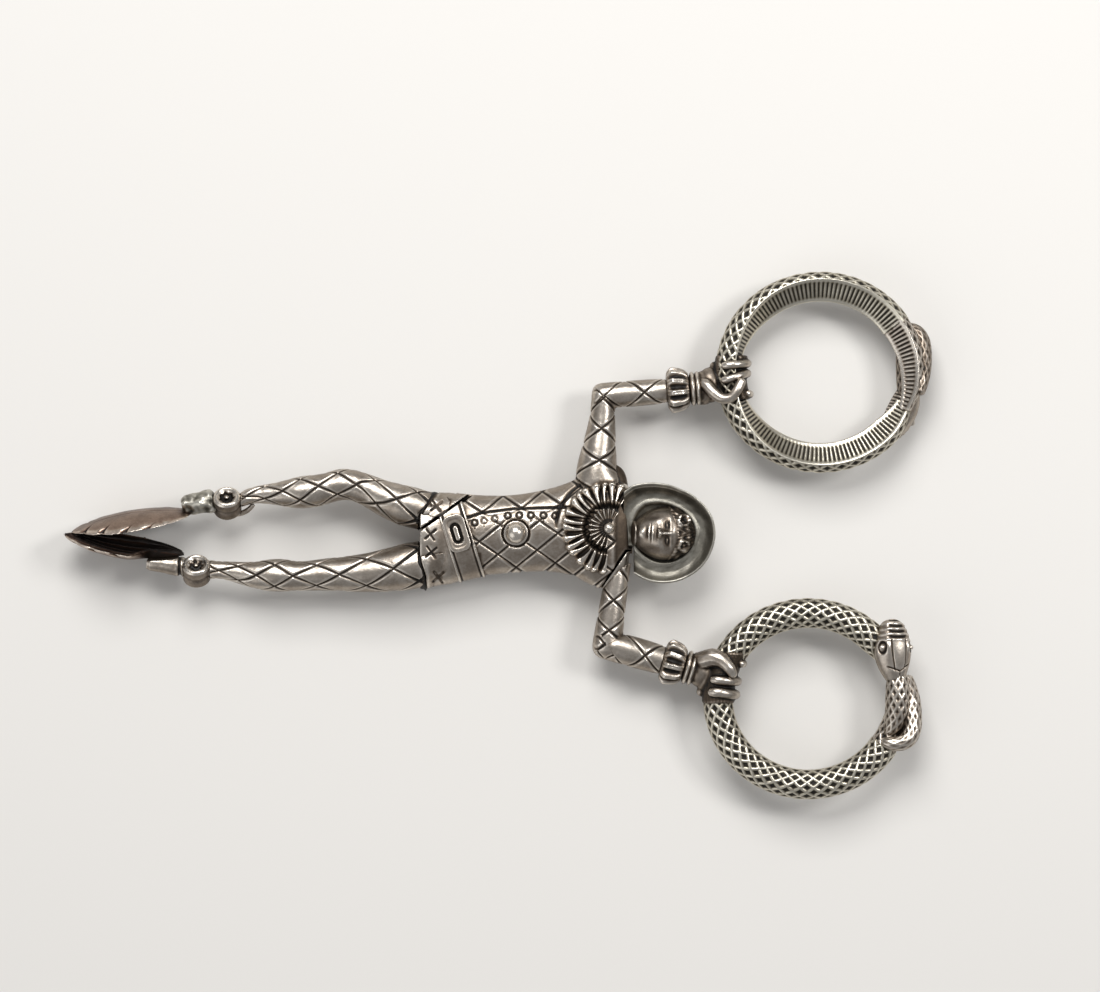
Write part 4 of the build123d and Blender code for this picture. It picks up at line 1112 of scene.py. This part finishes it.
def snakeTail(half):
    parts = []
    # the band runs counter-clockwise, so its belly is mirrored
    belly = math.radians(180 - snake["bellyAngle"]["back"])
    # the front half's coil is the slimmer and the more tarnished
    slim, dark = (0.84, 0.34) if half == "front" else (1.0, 0.16)
    lines = (
        ([polar(a, out, lift) + (r,) for a, out, lift, r in bandLine], 170, 110, belly, 1.0),
        (turnLine, 120, 96, None, 0.8),
        ([row[:3] + (row[3] * slim,) for row in coilLine], 170, 72, None, 0.8),
    )
    for line, steps, sides, facing, depth in lines:

        def relief(run, angle, radius, facing=facing, depth=depth):
            if facing is not None:
                return snakeSkin(run, angle - facing, radius)
            length, width = snake["cell"]
            around = snake["radius"] * angle / width * 1.1
            near = np.minimum(lineGap(run / length + around), lineGap(run / length - around))
            near *= 0.9 * radius / snake["radius"]
            pit = blendStep(0.17, 0.34, near)
            dirtAndShade = depth * (0.36 * pit - 0.2 * bump(near, 0.1)) + dark
            return depth * (0.1 * bump(near, 0.15) - 0.13 * pit), dirtAndShade

        places, radii = [row[:3] for row in line], [row[3] for row in line]
        part = tubePiece("tailPart", places, radii, steps, sides, relief)
        reshape(part, lambda points: loopPoints(half, points))
        mergeDoubles(part)
        parts.append(part)
    return joinPieces(half + "SnakeTailSilver", parts)


for half in halves:
    keepPiece(snakeLoop(half), half + "_half", half + "_snake_loop")
    keepPiece(snakeHeadPiece(half), half + "_half", half + "_snake_head")
    keepPiece(snakeTail(half), half + "_half", half + "_snake_tail")
print("snakes scaled")

# hands
hands = {
    "voxel": 0.085,
    "flesh": 0.46, "fleshReach": 1.9,      # radius of its balls, and how far off the snake's middle
    "knuckle": 0.95, "knuckleLift": -2.1, "knuckleReach": 714,
    "front": {
        "thumb": ((700, 384, 0.9, 0.95), (706, 385.5, 1.6, 0.9), (713, 393, 2.2, 0.84),
                  (721, 398.5, 2.55, 0.78), (730, 398, 2.85, 0.72), (736, 391, 2.95, 0.7),
                  (740.5, 382.5, 2.8, 0.64)),
        "fingers": ((725, 366, 747, 363.5, 0.62), (725, 380.5, 746, 373.5, 0.62)),
        "fill": (358, 399), "fillTo": 66, "knuckles": 393,
        "index": (736, 391, 750.5, 394.5, 0.6),
        "palm": ((697, 388, 0.0, 2.0, 1.75), (703, 388, -0.1, 2.4, 1.9), (710, 385, -0.3, 2.5, 1.9),
                 (716, 380, -0.9, 2.3, 1.5)),
    },
    "back": {
        "thumb": ((698, 661, 0.6, 1.25), (705, 659, 1.4, 1.35), (713, 657, 1.95, 1.3), (721, 659.5, 2.4, 1.1),
                  (728, 666.5, 2.75, 0.88), (732, 673, 2.7, 0.64)),
        "fingers": ((711, 678.8, 740, 681.5, 0.68), (717.5, 691.5, 737, 694.8, 0.72)),
        "fill": (654, 701), "fillTo": 150, "knuckles": 666,
        "index": (731, 661, 740, 663.5, 0.58),
        "palm": ((695, 668, 0.0, 2.0, 1.75), (700, 670, -0.1, 2.4, 1.9), (707, 675, -0.3, 2.6, 1.9),
                 (713, 679, -0.9, 2.4, 1.5)),
    },
}


def addBall(bm, at, radius, fineness, stretch=(1, 1, 1)):
    made = bmesh.ops.create_icosphere(bm, subdivisions=fineness, radius=radius * mm)
    bmesh.ops.scale(bm, vec=stretch, verts=made["verts"])
    bmesh.ops.translate(bm, vec=Vector(at) * mm, verts=made["verts"])


def addBeads(bm, line):
    # a run of balls close together, which the even skin then joins into one limb
    for x, y, z, r in smoothLine(line, 10 * len(line)):
        addBall(bm, (x, y, z), r, 2)


def ringEdge(half, y):
    # the reach of the snake's middle on the hand's side, this far across
    cx, cy, _ = loops[half]
    ring = snake["bore"] + snake["radius"]
    return cx - (ring + snake["wide"]) * np.sqrt(np.maximum(1 - ((y - cy) / ring) ** 2, 0))


def fingerLine(half, x0, y0, x1, y1, radius):
    # from the tip over the front of the snake, down its inner side and back behind it
    (ax, ay), (bx, by) = spot(x0, y0), spot(x1, y1)
    ringX = ringEdge(half, spot(0, (y0 + y1) / 2)[1])
    wrap = snake["radius"] + radius * 0.55
    points = []
    for angle in range(114, -176, -12):
        x = ringX + wrap * math.cos(math.radians(angle))
        share = (x - ax) / max(bx - ax, 1e-6)
        y = ay + (by - ay) * min(max(share, 0), 1)
        lift = wrap * math.sin(math.radians(angle)) * (1.02 if angle > 0 else 1)
        points.append((x, y, midHeight + lift, radius))
    points[0] = points[0][:3] + (radius * 0.86,)
    return points


def handPiece(half):
    form = hands[half]
    bm = bmesh.new()
    for finger in form["fingers"]:
        addBeads(bm, fingerLine(half, *finger))
    addBeads(bm, fingerLine(half, *form["index"])[7:])
    addBeads(bm, [spot(px, py) + (midHeight + lift, r) for px, py, lift, r in form["thumb"]])
    for px, py, lift, wide, thick in form["palm"]:
        addBall(bm, spot(px, py) + (midHeight + lift,), 1, 4, (thick, wide, thick))
    # the flesh between the fingers closes the fist round the snake
    reach = hands["fleshReach"]
    for py in np.arange(*form["fill"], 2.6):
        y = spot(0, py)[1]
        for angle in range(-205, form["fillTo"], 13):
            turn = math.radians(angle)
            place = (ringEdge(half, y) + reach * math.cos(turn), y, midHeight + reach * math.sin(turn))
            addBall(bm, place, hands["flesh"], 1)
    # knuckles on the back of the fist, out of the picture
    for i in range(3):
        x, y = spot(hands["knuckleReach"], form["knuckles"])
        y += (1 if half == "front" else -1) * (i - 0.1) * 1.5
        addBall(bm, (x, y, midHeight + hands["knuckleLift"]), hands["knuckle"], 3)
    piece = addObject(half + "HandSilver", bm)
    evenSkin(piece, hands["voxel"])
    points = relax(readPoints(piece.data), readEdges(piece.data), 6, 0.5)
    writePoints(piece.data, points)
    # the grip stays black between the fingers and the thumb
    x, y, z = points.T
    off = x - ringEdge(half, y)
    palm = blendStep(-1.2, -3.2, off) * blendStep(2.3, 1.4, z - midHeight)
    grip = blendStep(2.75, 2.4, np.hypot(off, z - midHeight))
    writeAttribute(piece.data, "dirtAndShade", 0.42 * grip + 0.16 * palm)
    return piece


for half in halves:
    keepPiece(handPiece(half), half + "_half", half + "_hand")
print("hands modelled")

# rosettes, shoes and ribbon
rosette = {"voxel": 0.055, "lean": 42.0, "petals": 7,
           "front": (-44.71, -5.487), "back": (-40.42, 3.981)}


def rosetteRelief(half):
    lean = math.radians(rosette["lean"])

    def relief(points, normals):
        x = points[:, 0] - rosette[half][0]
        y = points[:, 1] - rosette[half][1]
        z = points[:, 2] - midHeight
        v = y * math.cos(lean) - z * math.sin(lean)
        h = y * math.sin(lean) + z * math.cos(lean)
        gap = np.hypot(x, v)
        way = np.arctan2(v, x)
        upright = normals[:, 1] * math.sin(lean) + normals[:, 2] * math.cos(lean)
        face = blendStep(0.9, 1.15, h) * blendStep(0.2, 0.5, upright)
        edge = 0.9 + 0.09 * np.cos(rosette["petals"] * way)
        hollow = blendStep(edge + 0.22, edge - 0.26, gap)
        bead = blendStep(0.42, 0.26, gap)
        height = face * (-0.32 * hollow * (1 - bead) + 0.04 * bead)
        height += face * 0.1 * bump(gap - 1.5, 0.25)
        waist = 0.12 * bump(h - 0.25, 0.3) * (1 - face)
        dirtAndShade = face * (0.5 * hollow * (1 - 0.7 * bead) - 0.2 * (1 - hollow)) + 0.12 * (1 - face)
        return height - waist, dirtAndShade

    return relief


chaseHalves("Rosette", "rosette", rosette["voxel"], rosetteRelief)

shoe = {"voxel": 0.06, "ribbonVoxel": 0.05, "lumps": {"front": 0.03, "back": 0.42}, "film": 0.04,
        "swell": (1.2, 1.12, 1.05), "seam": 180, "worn": (161, 572)}


def shoeRelief(half):
    lumps = shoe["lumps"][half]

    def relief(points, normals):
        wave = np.array([noise.fractal(Vector(p) * 0.62, 1.0, 2.0, 2) for p in points])
        skin = np.array([lumps * wave, lumps * np.clip(-wave, -0.3, 1)])
        if half == "back":
            return skin + [[0], [shoe["film"]]]
        seam = bump(points[:, 0] - spot(shoe["seam"], 0)[0], 0.2)
        worn = bump(np.hypot(*(points[:, :2] - spot(*shoe["worn"])).T), 0.8)
        return skin + mark(seam, -0.16, 0.8) + mark(worn, -0.05)

    return relief


def swellShoe(half, piece):
    # the back's is a shapeless lump of solder, a little larger toward the claw
    if half == "back":
        points = readPoints(piece.data)
        middle = points.mean(0)
        writePoints(piece.data, middle + (points - middle) * shoe["swell"])


chaseHalves("Shoe", "shoe", shoe["voxel"], shoeRelief, before=swellShoe)
keepPiece(castCopy("backRibbonSilver", "back_ribbon", shoe["ribbonVoxel"]), "back_half", "back_ribbon")
print("feet made")

# claws
claw = {"voxel": 0.1, "length": 17.3, "half": 4.6, "twist": 18.0, "tipGap": 0.3,
        "front": (46.3, 3.1, 1), "back": (45.2, 2.9, -1),
        "notches": ((0.2, 0.8), (0.38, 1.0), (0.56, 0.98), (0.74, 0.76), (0.89, 0.42)),
        "ribs": 7}


def clawAxes(half):
    reach, side, way = claw[half]
    rise = side - claw["tipGap"] / 2
    run = math.sqrt(claw["length"] ** 2 - rise**2)
    toward = np.array([-run, way * rise, 0]) / claw["length"]
    level = np.array([way * rise, run, 0]) / claw["length"] * way
    twist = math.radians(claw["twist"])
    opening = level * math.cos(twist) + np.array([0, 0, way * math.sin(twist)])
    return np.array([-reach, -way * side, midHeight]), toward, np.cross(opening, toward), opening


def clawRelief(half):
    origin, toward, across, opening = clawAxes(half)
    outline = np.array(((0, 0.3),) + claw["notches"] + ((1, 0.04),)) * (claw["length"], claw["half"])

    def relief(points, normals):
        local = points - origin
        s, t = local @ toward, local @ across
        inner = blendStep(0.1, 0.5, normals @ opening)
        outer = blendStep(0.1, 0.5, -(normals @ opening))
        share = t / np.maximum(np.interp(s, *outline.T), 0.4)
        rib = np.cos(share * claw["ribs"] * math.pi)
        fade = blendStep(0.0, 1.5, s) * blendStep(1.02, 0.86, np.abs(share))
        edge = bump(np.abs(share) - 0.98, 0.12)
        skin = mark(inner * fade * rib, 0.13, -0.14) + mark(inner * fade, 0, 0.59) - mark(edge, 0, 0.25)
        # each lobe laps over the next, with a pointed pit at the notch
        for at, width in claw["notches"]:
            sx = at * claw["length"]
            for way in (1, -1):
                ty = way * width * claw["half"]
                ds, dt = s - sx, (t - ty) * way
                along = -0.75 * ds - 0.66 * dt
                off = 0.66 * ds - 0.75 * dt
                pit = np.exp(-(np.clip(along, 0, 9) / 1.0) ** 2) * blendStep(-0.5, 0.0, along)
                cut = bump(off, 0.08 + 0.42 * np.exp(-np.clip(along, 0, 9) / 0.55)) * pit * (at > 0.3)
                lap = blendStep(0.0, 0.5, off) * blendStep(1.6, 0.5, off) * pit
                skin += mark(outer * cut, -0.3, 0.85) + mark(outer * lap, 0.09)
        if half == "front":
            skin += mark(blendStep(6.4, 4.6, s), 0, 0.6)
        vein = bump(t, 0.12) * blendStep(0, 2, s) * blendStep(16, 12, s)
        return skin + mark(outer * vein, -0.06)

    return relief


def tuckRim(half, piece):
    # the near rim runs down to the shoe instead of over it
    origin, toward, across, opening = clawAxes(half)
    points = readPoints(piece.data)
    local = points - origin
    s, t = local @ toward, local @ across
    up = np.sign(across[2])
    tuck = (1 - 0.95 * blendStep(7.8, 4.4, s)) if half == "front" else np.ones(len(s))
    moved = np.where(t * up > 0, t * tuck - t, 0)
    # the upper claw is the shallower
    flatten = -0.2 * (local @ opening) * (half == "back")
    writePoints(piece.data, points + across * moved[:, None] + opening * flatten[:, None])


chaseHalves("Claw", "claw", claw["voxel"], clawRelief, after=tuckRim)
print("claws chased")


# where tarnish gathers, with painted shade on the sides and between pieces
tarnishAndShade = {
    "base": 0.31,            # a light film everywhere
    "sideShade": 0.2,            # painted shade on the sides, more the further a face turns from up
    "fine": (6, 7.5),        # rounds of smoothing and its strength per mm
    "broad": (45, 1.9),
    "creviceTarnishAndShade": 0.62,         # strength of the darkening between pieces: tarnish there, and painted shade where the other metal hides a point's sky
    "cell": 0.42, "rays": 20, "reach": 4.0,
}


def creviceTree():
    verts, faces = [], []
    for piece in pieces:
        mesh = piece.data
        start = len(verts)
        verts.extend(v.co.copy() for v in mesh.vertices)
        faces.extend(tuple(start + i for i in p.vertices) for p in mesh.polygons)
    return BVHTree.FromPolygons(verts, faces)


def skyShares(points, normals, tree, spread):
    # how much of a point's own sky the other metal hides, one sample for each small cell
    keys = np.round(points / tarnishAndShade["cell"]).astype(int)
    keys = np.hstack([keys, np.round(normals * 1.3).astype(int)])
    _, first, inverse = np.unique(keys, axis=0, return_index=True, return_inverse=True)
    found = np.empty(len(first))
    reach = tarnishAndShade["reach"] * mm
    for k, i in enumerate(first):
        normal = Vector(normals[i])
        start = Vector(points[i]) * mm + normal * 0.06 * mm
        turn = normal.to_track_quat("Z", "Y")
        hidden = 0.0
        for ray in spread:
            hit = tree.ray_cast(start, turn @ ray, reach)
            if hit[0] is not None:
                hidden += 1 - 0.6 * hit[3] / reach
        found[k] = hidden / len(spread)
    return found[inverse.ravel()]


def layTarnishAndShade():
    tree = creviceTree()
    spread = []
    for k in range(tarnishAndShade["rays"]):
        # a cosine spread of directions on a sunflower spiral
        share = (k + 0.5) / tarnishAndShade["rays"]
        out, way = math.sqrt(share) * 0.98, k * 2.39996
        spread.append(Vector((out * math.cos(way), out * math.sin(way), math.sqrt(1 - out * out))))
    for piece in pieces:
        mesh = piece.data
        points, normals, edges = readPoints(mesh), readNormals(mesh), readEdges(mesh)
        hollow = np.zeros(len(points))
        for rounds, strength in (tarnishAndShade["fine"], tarnishAndShade["broad"]):
            hollow += strength * ((relax(points, edges, rounds) - points) * normals).sum(1)
        sky = skyShares(points, normals, tree, spread)
        sky = relax(sky[:, None], edges, 8)[:, 0]
        patinaAndShade = tarnishAndShade["base"] + readAttribute(mesh, "dirtAndShade") + np.clip(hollow, -0.3, 0.6)
        # painted shade: faces that turn away from straight up are darker
        patinaAndShade += tarnishAndShade["sideShade"] * (1 - np.abs(normals[:, 2])) ** 1.5
        # painted shade where the other metal hides the sky, together with the tarnish there
        patinaAndShade += tarnishAndShade["creviceTarnishAndShade"] * np.clip(sky - 0.12, 0, 1)
        patinaAndShade = relax(np.clip(patinaAndShade, 0, 1.1)[:, None], edges, 1, 0.4)[:, 0]
        writeAttribute(mesh, "patinaAndShade", patinaAndShade)
        if "dirtAndShade" in mesh.attributes:
            mesh.attributes.remove(mesh.attributes["dirtAndShade"])


layTarnishAndShade()
print("tarnish laid")


# materials
def colour(hexValue):
    parts = [int(hexValue[i:i + 2], 16) / 255 for i in (1, 3, 5)]
    return tuple(c / 12.92 if c <= 0.04045 else ((c + 0.055) / 1.055) ** 2.4 for c in parts) + (1.0,)


def node(tree, kind, settings=None, links=None):
    made = tree.nodes.new(kind)
    for name, value in (settings or {}).items():
        if isinstance(name, int) or name in made.inputs:
            made.inputs[name].default_value = value
        else:
            setattr(made, name, value)
    for name, source in (links or {}).items():
        tree.links.new(source, made.inputs[name])
    return made


silverKinds = {
    # cast sterling, chased and handled: worn bright high up, sulphide-black in the cuts
    "oldSilver": {"bright": "#CFC7BC", "film": "#94897D", "dull": "#52473C", "black": "#16120E",
                  "shift": 0.0, "rough": (0.27, 0.52)},
    # silver that was soldered: grey-green and pitted, never polished since
    "solderedSilver": {"bright": "#C4C0B5", "film": "#908C82", "dull": "#545047", "black": "#151411",
                       "shift": -0.07, "rough": (0.36, 0.6)},
    # the claws' thin walls, warm brown where sugar and steam reached them
    "clawSilver": {"bright": "#CFC3B6", "film": "#8E7B6D", "dull": "#46332A", "black": "#160E09",
                   "shift": 0.06, "rough": (0.28, 0.5)},
    # the snakes' bellies take a faint straw-coloured film
    "bellySilver": {"bright": "#D3CDBE", "film": "#979080", "dull": "#504A3E", "black": "#16130E",
                    "shift": 0.0, "rough": (0.28, 0.52)},
}


def silverMaterial(name, kind):
    material = bpy.data.materials.new(name)
    material.use_nodes = True
    tree = material.node_tree
    tree.nodes.clear()
    place = node(tree, "ShaderNodeTexCoord").outputs["Object"]
    patinaAndShade = node(tree, "ShaderNodeAttribute", {"attribute_name": "patinaAndShade"}).outputs["Fac"]

    def clouds(scale, detail, rough=0.5):
        made = node(tree, "ShaderNodeTexNoise", {"Scale": scale, "Detail": detail, "Roughness": rough},
                    {"Vector": place})
        return made.outputs["Fac"]

    def maths(operation, settings, *sources):
        settings["operation"] = operation
        return node(tree, "ShaderNodeMath", settings, dict(enumerate(sources))).outputs[0]

    # clouds of film 2 mm across, and spots of 0.3 mm
    cloudy = maths("MULTIPLY_ADD", {1: 0.34, 2: kind["shift"] - 0.17}, clouds(450.0, 3.0, 0.55))
    specky = maths("MULTIPLY_ADD", {1: 0.2, 2: -0.1}, clouds(3200.0, 2.0, 0.6))
    total = maths("ADD", {"use_clamp": True}, patinaAndShade, maths("ADD", {}, cloudy, specky))
    ramp = node(tree, "ShaderNodeValToRGB", links={"Fac": total})
    stops = ramp.color_ramp.elements
    stops[0].position, stops[0].color = 0.05, colour(kind["bright"])
    stops[1].position, stops[1].color = 1.0, colour(kind["black"])
    for position, key in ((0.34, "film"), (0.66, "dull")):
        stop = stops.new(position)
        stop.color = colour(kind[key])
    rough = node(tree, "ShaderNodeMapRange", {"To Min": kind["rough"][0], "To Max": kind["rough"][1]},
                 {"Value": total})
    metal = node(tree, "ShaderNodeMapRange",
                 {"From Min": 0.6, "From Max": 1.0, "To Min": 1.0, "To Max": 0.55}, {"Value": total})
    # casting skin of 0.12 mm grain, and the fine rubbing of two centuries of cloths
    soft = node(tree, "ShaderNodeBump", {"Strength": 0.35, "Distance": 0.00012},
                {"Height": clouds(1100.0, 2.0)})
    fine = node(tree, "ShaderNodeBump", {"Strength": 0.22, "Distance": 0.00003},
                {"Height": clouds(8000.0, 3.0, 0.6), "Normal": soft.outputs["Normal"]})
    shader = node(tree, "ShaderNodeBsdfPrincipled", {},
                  {"Base Color": ramp.outputs["Color"], "Roughness": rough.outputs["Result"],
                   "Metallic": metal.outputs["Result"], "Normal": fine.outputs["Normal"]})
    output = node(tree, "ShaderNodeOutputMaterial", links={"Surface": shader.outputs["BSDF"]})
    output.is_active_output = True
    return material


silvers = {name: silverMaterial(name, kind) for name, kind in silverKinds.items()}
for piece in pieces:
    kind = "oldSilver"
    if "Claw" in piece.name:
        kind = "clawSilver"
    elif "backShoe" in piece.name or "hat" in piece.name:
        kind = "solderedSilver"
    elif "SnakeLoop" in piece.name:
        kind = "bellySilver"
    piece.data.materials.clear()
    piece.data.materials.append(silvers[kind])
print("silver finished")

# floor, light and camera
studio = {
    "floor": "#DBD8D3", "world": "#D6D7DA", "worldStrength": 0.5,
    "key": {"size": 0.30, "at": (-0.05, 0.34, 0.42), "power": 2.38},
    "fill": {"size": 0.5, "at": (-0.45, -0.25, 0.4), "power": 0.75},
    "strip": {"size": 0.12, "at": (0.3, 0.12, 0.35), "power": 0.75},
}
bm = bmesh.new()
bmesh.ops.create_grid(bm, x_segments=8, y_segments=8, size=1.5)
bmesh.ops.translate(bm, vec=(0, 0, -0.02 * mm), verts=bm.verts)
floor = addObject("studioFloor", bm)
paper = bpy.data.materials.new("matPaper")
paper.use_nodes = True
shader = paper.node_tree.nodes["Principled BSDF"]
shader.inputs["Base Color"].default_value = colour(studio["floor"])
shader.inputs["Roughness"].default_value = 0.95
floor.data.materials.append(paper)

world = bpy.data.worlds.new("studioAir")
world.use_nodes = True
back = world.node_tree.nodes["Background"]
back.inputs["Color"].default_value = colour(studio["world"])
back.inputs["Strength"].default_value = studio["worldStrength"]
bpy.context.scene.world = world

for name in ("key", "fill", "strip"):
    form = studio[name]
    lamp = bpy.data.lights.new(name + "Light", "AREA")
    lamp.shape = "SQUARE"
    lamp.size = form["size"]
    lamp.energy = form["power"]
    holder = bpy.data.objects.new(name + "Light", lamp)
    holder.location = form["at"]
    holder.rotation_euler = (Vector((0, 0, 0.005)) - Vector(form["at"])).to_track_quat("-Z", "Y").to_euler()
    bpy.context.scene.collection.objects.link(holder)

view = {"centre": (4.76, 5.18), "width": 154.0, "height": 600.0}
camera = bpy.data.cameras.new("photoCamera")
camera.sensor_width = 36.0
camera.lens = 36.0 * view["height"] / view["width"]
camera.clip_start, camera.clip_end = 0.01, 10
eye = bpy.data.objects.new("photoCamera", camera)
eye.location = (view["centre"][0] * mm, view["centre"][1] * mm, (view["height"] + midHeight) * mm)
bpy.context.scene.collection.objects.link(eye)
bpy.context.scene.camera = eye
bpy.context.scene.view_settings.view_transform = "Standard"
